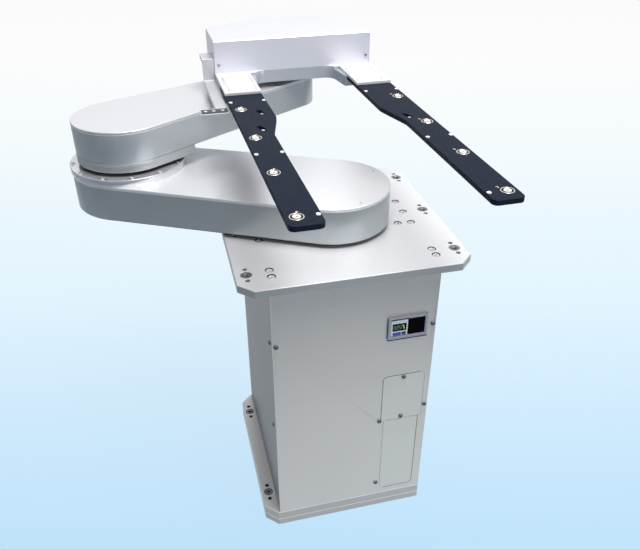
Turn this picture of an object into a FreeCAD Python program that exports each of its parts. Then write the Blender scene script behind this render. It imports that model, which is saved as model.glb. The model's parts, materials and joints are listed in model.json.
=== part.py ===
import FreeCAD, Part
import math
import os

import Sketcher
from FreeCAD import Placement, Rotation, Vector

# Wafer transfer robot: a lift column under a two-link swivel arm that carries a two-finger fork.
# Millimetres and degrees. Z is up, the origin lies on the swivel axis at the floor, and the
# fork points towards -Y. The arm stands in its drawn-in pose, at the bottom of the lift stroke.

os.makedirs("parts", exist_ok=True)
doc = FreeCAD.newDocument("wafer_transfer_robot")

# ---------------------------------------------------------------- driving dimensions
DIMENSIONS = [
    # column and its base
    ("column_width", 300, "column, side to side"),
    ("column_depth", 363, "column, front to rear"),
    ("column_height", 549.5, "column walls, base flange to top plate"),
    ("side_wall", 12, "thickness of the two side walls"),
    ("rear_wall_thick", 12, "thickness of the rear wall"),
    ("front_cover_thick", 4, "thickness of the front cover"),
    ("base_plate_thick", 17.5, "floor plate"),
    ("base_flange_thick", 19.5, "flange plate on the floor plate"),
    ("base_ear", 27, "how far the base stands out on the left"),
    ("base_chamfer", 24, "corner chamfers of the base"),
    ("floor_bolt_inset", 13, "floor bolts, in from the ear's edge"),
    ("floor_bolt_pitch", 248, "floor bolts, front to rear"),
    ("floor_bolt_hole", 11, "floor bolt hole diameter"),
    ("floor_bolt_sink", 18, "floor bolt counterbore diameter"),
    ("floor_bolt_sink_depth", 11, "floor bolt counterbore depth"),
    ("jack_hole", 8.5, "jack-screw hole diameter, base and top plate"),
    ("jack_pitch", 35, "between the two jack-screw holes of a set"),
    # top plate
    ("plate_width", 405, "top plate, side to side"),
    ("plate_depth", 408, "top plate, front to rear"),
    ("plate_thick", 15, "top plate thickness"),
    ("plate_chamfer", 25, "corner chamfers of the top plate"),
    ("bush_inset", 19.5, "level bushes, in from the plate's sides"),
    ("bush_pitch", 152, "level bushes, one to the next along a side"),
    ("bush_diameter", 20, "level bush diameter"),
    ("bush_bore", 10.2, "threaded bore of a level bush"),
    ("bush_sink", 0.8, "level bush, below the plate's top"),
    ("bush_foot", 1.2, "level bush, above the plate's underside"),
    ("plate_edge", 1.2, "bevel round the plate, above and below"),
    ("plate_screw_inset", 6.5, "plate screws, in from the column's sides"),
    ("plate_screw_pitch", 20, "between the two corner screws of a pair"),
    ("plate_screw_end", 25.5, "a corner pair's middle, in from the column's front and rear"),
    ("wall_screw_pitch", 44, "side row of plate screws"),
    ("inner_screw_x", 118, "the single inner plate screw, across"),
    ("inner_screw_y", -42, "the single inner plate screw, along"),
    ("cap_head", 12.4, "M8 cap screw head diameter"),
    ("cap_head_height", 8, "M8 cap screw head height"),
    ("cap_sink", 15, "counterbore for an M8 cap screw"),
    ("cap_sink_depth", 8.6, "depth of that counterbore"),
    ("cap_shank", 8, "M8 shank diameter"),
    ("cap_socket", 6, "M8 socket, across flats"),
    ("cap_grip", 24, "M8 shank length"),
    ("cap_hole_gap", 0.3, "clearance round a shank in a through hole"),
    ("thread_runout", 1, "thread depth past the end of a screw"),
    # covers, access panels and panel gauges
    ("cover_screw_head", 9, "button screw head diameter"),
    ("cover_screw_rise", 2.4, "button screw head height"),
    ("cover_screw_shank", 4, "button screw shank diameter"),
    ("cover_screw_length", 8, "button screw shank length"),
    ("panel_gap", 0.5, "gap round each access panel"),
    ("upper_panel_left", 56, "left edge of the upper access panel, from the middle"),
    ("upper_panel_width", 83, "upper access panel"),
    ("lower_panel_left", 61.5, "left edge of the lower access panel, from the middle"),
    ("lower_panel_width", 71.5, "lower access panel"),
    ("panel_bottom", 50, "bottom of the lower panel, above the floor"),
    ("panel_split", 243, "where the two panels meet, above the floor"),
    ("panel_top", 356, "top of the upper panel, above the floor"),
    ("panel_corner", 9, "corner radius of the access panels"),
    ("panel_screw_gap", 2.7, "screws beside the panels, from the panel's edge"),
    ("panel_screw_high", 244.5, "upper of those screws, above the floor"),
    ("panel_screw_low", 70, "lower of those screws, above the floor"),
    ("panel_screw_x", 96.5, "screws in the upper panel, from the middle"),
    ("panel_screw_inset", 6.5, "screws in the upper panel, from its top and bottom edges"),
    ("backing_thick", 4, "backing strip behind the panels"),
    ("backing_margin", 8, "backing strip, beyond the panels and behind their edges"),
    ("backing_web", 13.6, "backing strip across each panel's ends"),
    ("edge_screw_inset", 6, "front cover screws, in from the column's sides"),
    ("edge_screw_high", 466, "upper front cover screws, above the floor"),
    ("edge_screw_low", 270.5, "lower front cover screw, above the floor"),
    ("side_screw_high", 456.5, "upper screw of a side wall, above the floor"),
    ("side_screw_low", 259, "lower screw of a side wall, above the floor"),
    ("side_screw_inset", 27.5, "screws of a side wall, behind the front"),
    ("bezel_width", 74, "gauge bezel"),
    ("bezel_height", 46, "gauge bezel"),
    ("bezel_rise", 5, "how far the bezel stands out"),
    ("bezel_left", 58, "left edge of the bezel, from the middle"),
    ("bezel_bottom", 446, "bottom of the bezel, above the floor"),
    ("gauge_width", 31, "one panel gauge"),
    ("gauge_height", 35, "one panel gauge"),
    ("gauge_depth", 26, "one panel gauge, front to back"),
    ("gauge_gap", 0.6, "between the gauges and round them"),
    ("gauge_lift", 1.5, "gauges, above the bezel's middle"),
    ("gauge_sink", 1.5, "gauge faces, behind the bezel's front"),
    ("display_width", 26, "pressure display window"),
    ("display_height", 16, "pressure display window"),
    ("display_lift", 0.5, "middle of the window, above the gauge's middle"),
    ("display_thick", 0.8, "pressure display window"),
    ("display_sink", 0.2, "window, behind the gauge's face"),
    ("button_width", 15, "left gauge button"),
    ("button_short", 7.5, "right gauge button"),
    ("button_height", 5.5, "gauge buttons"),
    ("button_rise", 1.2, "gauge buttons, above the gauge's face"),
    ("button_root", 1.2, "gauge buttons, behind the gauge's face"),
    ("button_well", 2.4, "wells of the gauge buttons"),
    ("button_play", 0.15, "gap round a gauge button"),
    ("button_gap", 1.8, "between the two gauge buttons"),
    ("button_drop", 13.2, "gauge buttons, below the gauge's middle"),
    ("blank_rim", 0.8, "rim of the unused gauge's window"),
    ("blank_sink", 1.2, "unused gauge's window, behind its rim"),
    # rear connectors
    ("connector_panel_width", 130, "rear connector panel"),
    ("connector_panel_height", 70, "rear connector panel"),
    ("connector_panel_thick", 3, "rear connector panel"),
    ("connector_panel_z", 120, "middle of the connector panel, above the floor"),
    ("connector_lap", 10, "rear connector panel, beyond its opening"),
    ("connector_spread", 33, "round receptacles, from the middle"),
    ("connector_diameter", 30, "round receptacle"),
    ("connector_length", 14, "round receptacle, behind the panel and through it"),
    ("connector_wall", 3, "round receptacle"),
    ("connector_collar", 2, "round receptacle, step that seats on the panel"),
    ("fitting_spread", 14, "air fittings, above and below the panel's middle"),
    ("fitting_diameter", 12, "air and vacuum fitting"),
    ("fitting_length", 16, "air and vacuum fitting, behind the panel"),
    ("fitting_stem", 12, "air and vacuum fitting, through the panel"),
    ("fitting_wall", 2, "air and vacuum fitting"),
    ("fitting_collar", 1.5, "air and vacuum fitting, step that seats on the panel"),
    ("fitting_bore", 0.7, "blind bore of a receptacle or fitting, share of its length"),
    # lift
    ("tube_outer", 150, "lift tube outer diameter"),
    ("tube_wall", 8, "lift tube wall"),
    ("seal_gap", 0.4, "radial gap of the dust seal"),
    ("seal_outer", 184, "dust seal outer diameter"),
    ("seal_height", 4.5, "dust seal height above the plate"),
    ("seal_neck", 5, "dust seal's neck in the plate, round the tube"),
    ("rail_size", 15, "linear rail, square"),
    ("rail_length", 520, "linear rail"),
    ("rail_foot_gap", 13, "linear rail, above the base"),
    ("block_depth", 32, "guide block, across the rail"),
    ("block_width", 48, "guide block, front to rear"),
    ("block_height", 76, "guide block"),
    ("block_gap", 2, "guide block to the side wall"),
    ("rail_clearance", 0.2, "guide block to rail"),
    ("shelf_top", 240, "top of the lift carriage shelf, above the floor"),
    ("shelf_thick", 18, "lift carriage shelf"),
    ("cheek_thick", 10, "lift carriage cheek"),
    ("cheek_height", 86, "lift carriage cheek, below the shelf"),
    ("shelf_bore_gap", 4, "shelf's bore, round the outer arm shaft"),
    ("screw_y", 134, "ball screw axis, behind the swivel axis"),
    ("screw_diameter", 16, "ball screw"),
    ("screw_length", 464, "ball screw"),
    ("shelf_front", 100, "carriage shelf, ahead of the swivel axis"),
    ("shelf_back", 160, "carriage shelf, behind the swivel axis"),
    ("nut_diameter", 30, "ball nut body"),
    ("nut_flange", 46, "ball nut flange"),
    ("nut_flange_thick", 10, "ball nut flange"),
    ("nut_length", 40, "ball nut"),
    ("nut_play", 0.2, "ball nut's bore, over that of the journal"),
    ("lift_motor_size", 56, "lift motor, square"),
    ("lift_motor_height", 84, "lift motor"),
    ("motor_chamfer", 5, "corners of the lift motor"),
    ("journal_depth", 25, "ball screw journal in the motor"),
    ("journal_gap", 1, "below the ball screw's end"),
    ("bearing_clearance", 0.05, "radial running clearance of shafts and screws"),
    # swivel and arm shafts
    ("outer_shaft", 110, "outer arm shaft diameter"),
    ("outer_shaft_bore", 94, "outer arm shaft bore"),
    ("inner_shaft", 80, "inner arm shaft diameter"),
    ("inner_shaft_bore", 64, "inner arm shaft bore"),
    ("drive_diameter", 180, "arm drive housings"),
    ("lower_drive_height", 62, "lower arm drive"),
    ("drive_gap", 0.6, "between a shaft and its drive's bore"),
    ("drive_rise", 20, "lower arm drive, above the base"),
    ("drive_step", 3, "between the two arm drives"),
    ("shaft_rise", 6, "foot of each arm shaft, above its drive's underside"),
    ("bearing_height", 14, "shaft bearings"),
    ("bearing_rise", 12, "lower tube bearing, above the carriage shelf"),
    ("bearing_drop", 6, "upper bearings, below the top of the tube"),
    ("tube_gap", 2, "lift tube to the lower link"),
    ("pulley_rise", 6, "shoulder pulley, above the lower link's floor"),
    ("pulley_top", 4, "swivel shaft, above its pulley"),
    ("pulley_foot", 2, "elbow shaft, below its pulley"),
    # lower link
    ("link_length", 395, "both links, axis to axis"),
    ("fold_angle", 62.25, "each link from the arm's centre line, drawn in"),
    ("swivel_angle", 1.1, "whole arm about the swivel axis"),
    ("plate_gap", 7.5, "lower link above the top plate"),
    ("lower_height", 68.5, "lower link with its cover"),
    ("shoulder_radius", 108, "lower link, shoulder end"),
    ("elbow_radius", 104.5, "lower link, elbow end"),
    ("link_wall", 6, "wall of both link housings"),
    ("link_floor", 8, "floor of both link housings"),
    ("cover_thick", 4.5, "top cover of both links"),
    ("cover_edge", 0.8, "bevel round a link cover"),
    ("case_edge", 1.2, "bevel under a link housing"),
    ("seam_edge", 0.4, "fine bevels along the seam of housing and cover"),
    ("lower_screw_ring", 96, "cover screws round the shoulder"),
    ("lower_screw_turn", 134, "cover screws round the shoulder, from the link's length"),
    ("screw_boss", 15, "bosses for the cover screws"),
    ("flush_screw_head", 6, "cover screw head"),
    ("flush_screw_rise", 1.8, "cover screw head height"),
    ("flush_screw_shank", 3, "cover screw shank"),
    ("flush_screw_length", 8, "cover screw, into the housing"),
    ("elbow_ring_radius", 107, "elbow bearing ring"),
    ("elbow_ring_height", 13, "elbow bearing ring"),
    ("elbow_ring_bore", 60, "elbow bearing ring bore"),
    ("bearing_sink", 1, "elbow bearing, inside both faces of its ring"),
    ("elbow_ring_bolts", 101, "bolt circle radius of the elbow ring"),
    ("elbow_ring_count", 12, "bolts in the elbow ring"),
    ("ring_bolt_head", 7, "M4 cap screw head"),
    ("ring_bolt_head_height", 4, "M4 cap screw head height"),
    ("ring_bolt_shank", 4, "M4 shank"),
    ("ring_bolt_grip", 6, "M4 cap screw, into the housing"),
    ("ring_bolt_sink", 8, "counterbore for an M4 cap screw"),
    ("shoulder_pulley", 130, "shoulder belt pulley"),
    ("pulley_height", 16, "belt pulleys"),
    ("belt_width", 12, "timing belts"),
    ("belt_thick", 2.4, "timing belts"),
    ("belt_clearance", 0.2, "belt to pulley"),
    ("elbow_shaft", 52, "elbow shaft diameter"),
    ("elbow_shaft_bore", 34, "elbow shaft bore"),
    ("elbow_post", 28, "fixed elbow post diameter"),
    # upper link
    ("elbow_gap", 6.5, "elbow ring to the belly cover"),
    ("belly_height", 17.5, "belly cover under the upper link"),
    ("belly_reach", 98, "belly cover, past the elbow axis"),
    ("upper_height", 59.5, "upper link with its cover"),
    ("upper_elbow_radius", 91.5, "upper link, elbow end"),
    ("wrist_radius", 60, "upper link, wrist end"),
    ("post_pulley", 50, "pulley on the elbow post"),
    ("wrist_shaft", 44, "wrist shaft diameter"),
    ("wrist_bearing", 56, "wrist bearing outer diameter"),
    ("wrist_bearing_gap", 3, "lower wrist bearing, below its pulley"),
    ("wrist_rise", 2, "wrist shaft, above the upper link's floor"),
    ("post_bearing_drop", 8, "post bearing, below the upper link's floor"),
    ("wrist_flange", 70, "wrist flange diameter"),
    ("wrist_flange_thick", 5, "wrist flange"),
    ("belt_lift", 12.5, "upper belt pulleys above the link's floor"),
    ("belly_bore_gap", 20, "bore of the belly cover, over the elbow shaft"),
    # hand
    ("hand_gap", 11, "upper link to the hand's base"),
    ("hand_base_thick", 25, "hand base plate"),
    ("hand_half", 161, "half the width of the hand"),
    ("hand_front", 92, "front of the hand housing, ahead of the wrist"),
    ("hand_side_back", 28, "rear end of the housing's sides, behind the wrist"),
    ("hand_back", 87, "rear of the hand housing, behind the wrist"),
    ("hand_back_flat", 58, "half the flat at the rear"),
    ("hand_corner", 14, "rear corner radius of the hand"),
    ("hand_bend", 70, "radius where the rear flat meets the slants"),
    ("housing_height", 62, "hand housing"),
    ("housing_wall", 3, "hand housing wall"),
    ("housing_front_corner", 1.5, "edges of the housing's front"),
    ("arm_reach", 157, "front of the base plate's two arms, ahead of the wrist"),
    ("notch_root", 80, "half the notch between the arms, at its root"),
    ("notch_mouth", 89, "half the notch at its mouth"),
    ("notch_corner", 20, "corner radius of the notch"),
    ("clamp_front", 222, "front of the finger clamps, ahead of the wrist"),
    ("clamp_back", 104, "rear of the finger clamps, ahead of the wrist"),
    ("clamp_thick", 5, "finger clamp plates"),
    ("finger_thick", 8, "fingers"),
    ("finger_root", 93, "inner edge of a finger at its root, from the middle"),
    ("finger_slim", 113, "inner edge of the slim part, from the middle"),
    ("finger_step", 354, "where a finger starts to narrow, ahead of the wrist"),
    ("finger_slim_start", 430, "where the slim part starts"),
    ("finger_tip", 743, "tip, ahead of the wrist"),
    ("tongue_inset", 6, "tongue under the clamp, in from the finger's edges"),
    ("tongue_start", 8, "rear of the tongue, ahead of the clamp's rear"),
    ("finger_corner", 9, "corner radius of a finger tip"),
    ("finger_bend", 45, "radius where a finger narrows"),
    ("pad_line", 145.5, "pads, from the middle"),
    ("pad_first", 302.5, "first pad, ahead of the wrist"),
    ("pad_pitch", 138.3, "one pad to the next"),
    ("pad_count", 4, "pads on a finger"),
    ("pad_ring", 24, "pad ring outer diameter"),
    ("pad_ring_width", 2.2, "pad ring, radial width"),
    ("pad_disc", 13, "pad disc diameter"),
    ("pad_recess", 1.2, "recess under a pad"),
    ("pad_ring_rise", 0.3, "pad ring above the finger"),
    ("pad_rise", 0.8, "pad disc above the finger"),
    ("pad_port", 3, "suction port of a pad"),
    ("stud_diameter", 6.4, "rest studs"),
    ("stud_rise", 1.2, "rest studs above the finger"),
    ("stud_sink", 4, "rest studs, into the finger"),
    ("stud_outer", 157.2, "outer studs, from the middle"),
    ("stud_inner", 97.1, "inner stud at the root, from the middle"),
    ("stud_slim", 117.6, "inner studs of the slim part, from the middle"),
    ("stud_back", 262.7, "rear studs, ahead of the wrist"),
    ("stud_middle", 509.3, "middle studs, ahead of the wrist"),
    ("stud_front", 718.5, "front stud, ahead of the wrist"),
    ("slot_width", 9, "oval slots in the fingers"),
    ("slot_length", 24, "oval slots in the fingers"),
    ("slot_depth", 5, "oval slots in the fingers"),
    ("slot_lean", 17, "lean of the slots from the finger's length"),
    ("slot_first_across", 115.4, "rear slot of the left finger, from the middle"),
    ("slot_first", 324, "rear slot of the left finger, ahead of the wrist"),
    ("slot_second_across", 128.4, "front slot of the left finger, from the middle"),
    ("slot_second", 401, "front slot of the left finger, ahead of the wrist"),
    ("slot_third_across", 123.6, "slot of the right finger, from the middle"),
    ("slot_third", 406, "slot of the right finger, ahead of the wrist"),
    ("slot_screw_head", 6, "screw in a slot"),
    ("slot_screw_rise", 2, "screw in a slot"),
    ("slot_screw_reach", 6, "screw in a slot, ahead of its middle"),
    ("clamp_screw_inner", 100, "inner clamp screws, from the middle"),
    ("clamp_screw_outer", 150, "outer clamp screws, from the middle"),
    ("clamp_screw_back", 124, "rear clamp screws, ahead of the wrist"),
    ("clamp_screw_front", 206, "front clamp screws, ahead of the wrist"),
    ("seat_screw_gap", 5, "base plate screws, ahead of the housing"),
    ("small_screw_head", 4.5, "M2.5 screw head"),
    ("small_screw_rise", 1.2, "M2.5 screw head height"),
    ("small_screw_shank", 2.5, "M2.5 shank"),
    ("front_screw_x", 152, "housing front screws, from the middle"),
    ("front_screw_rise", 16, "housing front screws, above the base plate"),
    ("finger_edge", 0.5, "bevel of the fingers' edges"),
    # side bracket on the hand
    ("bracket_width", 23, "bar of the side bracket"),
    ("bracket_top", 14, "top of the bar, below the top of the base plate"),
    ("bracket_thick", 8, "bar and foot of the side bracket"),
    ("bracket_back", 80, "rear of the riser, ahead of the wrist"),
    ("bracket_front", 288, "front of the foot, ahead of the wrist"),
    ("bracket_riser", 42, "riser above the bar's top"),
    ("bracket_head", 9, "thickness of the head on the riser"),
    ("bracket_head_depth", 40, "head, front to rear"),
    ("foot_width", 50, "foot, side to side"),
    ("foot_depth", 30, "foot, front to rear"),
    ("foot_slot_width", 12, "recess in the foot"),
    ("foot_slot_length", 42, "recess in the foot"),
    ("foot_slot_depth", 4, "recess in the foot"),
    ("insert_thick", 3, "insert in the foot's recess"),
    ("foot_gap", 2, "foot to the finger's side"),
]

sheet = doc.addObject("Spreadsheet::Sheet", "Dimensions")
for row, (alias, number, note) in enumerate(DIMENSIONS, 1):
    sheet.set(f"A{row}", alias)
    sheet.set(f"B{row}", str(number))
    sheet.setAlias(f"B{row}", alias)
    sheet.set(f"C{row}", note)
doc.recompute()


class Size:
    """A size from the sheet: its present value, and the expression that binds to it."""

    def __init__(self, value, text):
        self.value = value
        self.text = text

    def __add__(self, other):
        other = size(other)
        return Size(self.value + other.value, f"({self.text} + {other.text})")

    def __sub__(self, other):
        other = size(other)
        return Size(self.value - other.value, f"({self.text} - {other.text})")

    def __mul__(self, other):
        other = size(other)
        return Size(self.value * other.value, f"({self.text} * {other.text})")

    def __truediv__(self, other):
        other = size(other)
        return Size(self.value / other.value, f"({self.text} / {other.text})")

    def __neg__(self):
        return Size(-self.value, f"(0 - {self.text})")

    def __radd__(self, other):
        return size(other) + self

    def __rsub__(self, other):
        return size(other) - self

    def __rmul__(self, other):
        return size(other) * self


def size(number):
    """A plain number as a Size; a Size stays as it is."""
    if isinstance(number, Size):
        return number
    return Size(float(number), f"{float(number):.6f}")


class Sheet:
    """Reads the spreadsheet: d.alias is the Size of that cell."""

    def __getattr__(self, alias):
        return Size(float(getattr(sheet, alias)), f"Dimensions.{alias}")


d = Sheet()


# ---------------------------------------------------------------- ways of making a piece
def make_body(label):
    """An empty body whose label names its file."""
    body = doc.addObject("PartDesign::Body", label)
    body.Label = label
    return body


def make_sketch(body, plane="XY_Plane", level=0):
    """A sketch on one of the body's own origin planes, moved along that plane's normal."""
    sketch = body.newObject("Sketcher::SketchObject", f"{body.Name}_sketch")
    support = next(item for item in body.Origin.OriginFeatures if item.Role == plane)
    sketch.AttachmentSupport = [(support, "")]
    sketch.MapMode = "FlatFace"
    sketch.setExpression("AttachmentOffset.Base.z", size(level).text)
    return sketch


def fix_point(sketch, geometry, end, point):
    """Ties one point of a sketch to a place given by two sizes."""
    for kind, place in zip(("DistanceX", "DistanceY"), point):
        place = size(place)
        number = sketch.addConstraint(
            Sketcher.Constraint(kind, -1, 1, geometry, end, place.value)
        )
        sketch.setExpression(f"Constraints[{number}]", place.text)


def polygon(sketch, points):
    """A closed outline of straight lines, each corner tied to its place."""
    first = sketch.GeometryCount
    corners = [Vector(size(across).value, size(along).value, 0) for across, along in points]
    for here, there in zip(corners, corners[1:] + corners[:1]):
        sketch.addGeometry(Part.LineSegment(here, there))
    for number, point in enumerate(points):
        following = first + (number + 1) % len(points)
        sketch.addConstraint(
            Sketcher.Constraint("Coincident", first + number, 2, following, 1)
        )
        fix_point(sketch, first + number, 1, point)


def rectangle(sketch, left, low, width, height):
    """A rectangle from its lower left corner."""
    left, low = size(left), size(low)
    right, high = left + width, low + height
    polygon(sketch, [(left, low), (right, low), (right, high), (left, high)])


def circle(sketch, point, diameter):
    """A circle of a bound diameter at a bound place."""
    centre = Vector(size(point[0]).value, size(point[1]).value, 0)
    diameter = size(diameter)
    ring = sketch.addGeometry(Part.Circle(centre, Vector(0, 0, 1), diameter.value / 2))
    fix_point(sketch, ring, 3, point)
    number = sketch.addConstraint(Sketcher.Constraint("Diameter", ring, diameter.value))
    sketch.setExpression(f"Constraints[{number}]", diameter.text)


def link_outline(sketch, near_radius, far_radius, length):
    """Two round ends, one at the origin and one along +X, joined by their outer tangents."""
    near, far, span = near_radius.value, far_radius.value, length.value
    lean = math.acos((near - far) / span)
    side = Vector(math.cos(lean), math.sin(lean), 0)
    other = Vector(side.x, -side.y, 0)
    centre = Vector(span, 0, 0)
    up = Vector(0, 0, 1)
    parts = [
        Part.ArcOfCircle(Part.Circle(Vector(), up, near), lean, 2 * math.pi - lean),
        Part.LineSegment(other * near, centre + other * far),
        Part.ArcOfCircle(Part.Circle(centre, up, far), -lean, lean),
        Part.LineSegment(centre + side * far, side * near),
    ]
    first, low, last, high = [sketch.addGeometry(part) for part in parts]
    for here, there in ((first, low), (low, last), (last, high), (high, first)):
        sketch.addConstraint(Sketcher.Constraint("Tangent", here, 2, there, 1))
    fix_point(sketch, first, 3, (0, 0))
    fix_point(sketch, last, 3, (length, 0))
    for arc, radius in ((first, near_radius), (last, far_radius)):
        number = sketch.addConstraint(Sketcher.Constraint("Radius", arc, radius.value))
        sketch.setExpression(f"Constraints[{number}]", radius.text)


def pad(body, sketch, height):
    """Adds the sketch's outline to the body, along the sketch's normal."""
    feature = body.newObject("PartDesign::Pad", f"{body.Name}_pad")
    feature.Profile = sketch
    feature.setExpression("Length", size(height).text)
    doc.recompute()
    return feature


def pocket(body, sketch, depth, upward=False):
    """Cuts the sketch's outline out of the body, against the sketch's normal or along it."""
    before = body.Shape.Volume
    feature = body.newObject("PartDesign::Pocket", f"{body.Name}_pocket")
    feature.Profile = sketch
    feature.Reversed = upward
    feature.setExpression("Length", size(depth).text)
    doc.recompute()
    if body.Shape.Volume >= before:
        raise RuntimeError(f"a pocket of {body.Label} cuts nothing")
    return feature


def drill(body, level, places, diameter, depth, plane="XY_Plane"):
    """Round holes of one size, down from a level."""
    sketch = make_sketch(body, plane, level)
    for point in places:
        circle(sketch, point, diameter)
    return pocket(body, sketch, depth)


def dress(body, kind, corners, amount):
    """Rounds or bevels the upright edges of the body that stand at the given corners."""
    base = body.Tip
    names = []
    for number, edge in enumerate(base.Shape.Edges, 1):
        ends = [vertex.Point for vertex in edge.Vertexes]
        for corner in corners:
            spot = [size(place).value for place in corner]
            if len(ends) == 2 and all(math.dist((end.x, end.y), spot) < 1e-3 for end in ends):
                names.append(f"Edge{number}")
    feature = body.newObject(f"PartDesign::{kind}", f"{body.Name}_{kind.lower()}")
    feature.Base = (base, names)
    feature.setExpression("Radius" if kind == "Fillet" else "Size", size(amount).text)
    doc.recompute()
    return feature


def rim_edges(shape, level):
    """Names of the edges that lie wholly at one height."""
    names = []
    for number, edge in enumerate(shape.Edges, 1):
        box = edge.BoundBox
        if abs(box.ZMin - level) < 1e-4 and abs(box.ZMax - level) < 1e-4:
            names.append(f"Edge{number}")
    return names


def bevel_rim(body, level, amount):
    """Bevels every edge that lies at one height."""
    base = body.Tip
    feature = body.newObject("PartDesign::Chamfer", f"{body.Name}_rim")
    feature.Base = (base, rim_edges(base.Shape, size(level).value))
    feature.setExpression("Size", size(amount).text)
    doc.recompute()
    return feature


def place(item, across=0, along=0, up=0, turn=0):
    """Stands a piece at its place, turned about Z by an angle in degrees."""
    base = Vector(size(across).value, size(along).value, size(up).value)
    item.Placement = Placement(base, Rotation(Vector(0, 0, 1), size(turn).value))
    return item


def ring_piece(label, outer, inner, height, up):
    """A plain ring or collar about the swivel axis."""
    body = make_body(label)
    sketch = make_sketch(body)
    circle(sketch, (0, 0), outer)
    circle(sketch, (0, 0), inner)
    pad(body, sketch, height)
    return place(body, up=up)


def hexagon(across_flats, height):
    """A hexagonal prism along +Z."""
    radius = across_flats / math.sqrt(3)
    corners = [
        Vector(radius * math.cos(turn), radius * math.sin(turn), 0)
        for turn in (math.radians(60 * number) for number in range(7))
    ]
    return Part.Face(Part.makePolygon(corners)).extrude(Vector(0, 0, height))


def cap_screw(head, head_height, shank, length, socket=None):
    """A screw: underside of the head at the origin, head up, shank down; a socket in a large one."""
    head, head_height, shank, length = [
        size(part).value for part in (head, head_height, shank, length)
    ]
    screw = Part.makeCylinder(head / 2, head_height)
    screw = screw.fuse(Part.makeCylinder(shank / 2, length, Vector(0, 0, -length)))
    if socket:
        recess = hexagon(size(socket).value, head_height)
        recess.translate(Vector(0, 0, head_height / 2))
        screw = screw.cut(recess)
    return screw.removeSplitter()


def group(label, shapes):
    """Separate solids of one kind kept as one piece of the list."""
    feature = doc.addObject("Part::Feature", label)
    feature.Label = label
    feature.Shape = Part.makeCompound(shapes)
    feature.Placement = Placement()
    return feature


def copies(shape, spots, axis=Vector(0, 0, 1)):
    """Copies of a shape at several points, its +Z turned to an axis."""
    turned = Rotation(Vector(0, 0, 1), axis)
    made = []
    for spot in spots:
        copy = shape.copy()
        copy.Placement = Placement(Vector(*[size(part).value for part in spot]), turned)
        made.append(copy)
    return made


# ---------------------------------------------------------------- base of the column
half_width = d.column_width / 2
half_depth = d.column_depth / 2
column_foot = d.base_plate_thick + d.base_flange_thick
column_top = column_foot + d.column_height
plate_top = column_top + d.plate_thick
ear_edge = -half_width - d.base_ear
floor_bolt_x = ear_edge + d.floor_bolt_inset
floor_bolts = [(floor_bolt_x, side * d.floor_bolt_pitch / 2) for side in (-1, 1)]
floor_jacks = [
    (floor_bolt_x, along + side * d.jack_pitch / 2) for _, along in floor_bolts for side in (-1, 1)
]


def base_outline(sketch):
    """The base's outline: flush with the column, with a bevelled ear on the left."""
    polygon(sketch, [
        (ear_edge + d.base_chamfer, -half_depth),
        (half_width, -half_depth),
        (half_width, half_depth),
        (ear_edge + d.base_chamfer, half_depth),
        (ear_edge, half_depth - d.base_chamfer),
        (ear_edge, -half_depth + d.base_chamfer),
    ])
    for spot in floor_bolts:
        circle(sketch, spot, d.floor_bolt_hole)
    for spot in floor_jacks:
        circle(sketch, spot, d.jack_hole)


base_plate = make_body("base_plate")
base_sketch = make_sketch(base_plate)
base_outline(base_sketch)
pad(base_plate, base_sketch, d.base_plate_thick)

base_flange = make_body("base_flange")
flange_sketch = make_sketch(base_flange)
base_outline(flange_sketch)
pad(base_flange, flange_sketch, d.base_flange_thick)
drill(base_flange, d.base_flange_thick, floor_bolts, d.floor_bolt_sink, d.floor_bolt_sink_depth)
place(base_flange, up=d.base_plate_thick)

# ---------------------------------------------------------------- column walls
plate_screw_x = half_width - d.plate_screw_inset
plate_screw_y = half_depth - d.plate_screw_end
corner_screws = [
    (side * plate_screw_x, end * plate_screw_y + step * d.plate_screw_pitch / 2)
    for side in (-1, 1) for end in (-1, 1) for step in (-1, 1)
]
row_screws = [
    (side * plate_screw_x, step * d.wall_screw_pitch) for side in (-1, 1) for step in (-1, 0, 1)
]
inner_screw = (d.inner_screw_x, d.inner_screw_y)
wall_depth = d.column_depth - d.front_cover_thick
wall_front = -half_depth + d.front_cover_thick
side_screw_heights = (d.side_screw_low, d.side_screw_high)
side_screw_y = d.side_screw_inset - half_depth
front_screws = [
    (-half_width + d.edge_screw_inset, d.edge_screw_high),
    (half_width - d.edge_screw_inset, d.edge_screw_high),
    (half_width - d.edge_screw_inset, d.edge_screw_low),
]
grip_depth = d.cap_grip - d.plate_thick + d.cap_sink_depth + d.thread_runout

for label, side in (("left_wall", -1), ("right_wall", 1)):
    wall = make_body(label)
    outline = make_sketch(wall, "YZ_Plane")
    rectangle(outline, wall_front, 0, wall_depth, d.column_height)
    for level in side_screw_heights:
        circle(outline, (side_screw_y, level - column_foot), d.cover_screw_shank)
    pad(wall, outline, d.side_wall)
    inner_face = d.side_wall if side < 0 else size(0)
    wall_screws = [
        (x + half_width if side < 0 else x - half_width + d.side_wall, y)
        for x, y in corner_screws + row_screws if x.value * side > 0
    ]
    drill(wall, d.column_height, wall_screws, d.cap_shank, grip_depth)
    edge_holes = make_sketch(wall, "XZ_Plane", -wall_front)
    for x, level in front_screws:
        if x.value * side > 0:
            local = x + half_width if side < 0 else x - half_width + d.side_wall
            circle(edge_holes, (local, level - column_foot), d.cover_screw_shank)
    pocket(wall, edge_holes, d.cover_screw_length)
    place(wall, across=-half_width if side < 0 else half_width - d.side_wall, up=column_foot)

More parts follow.
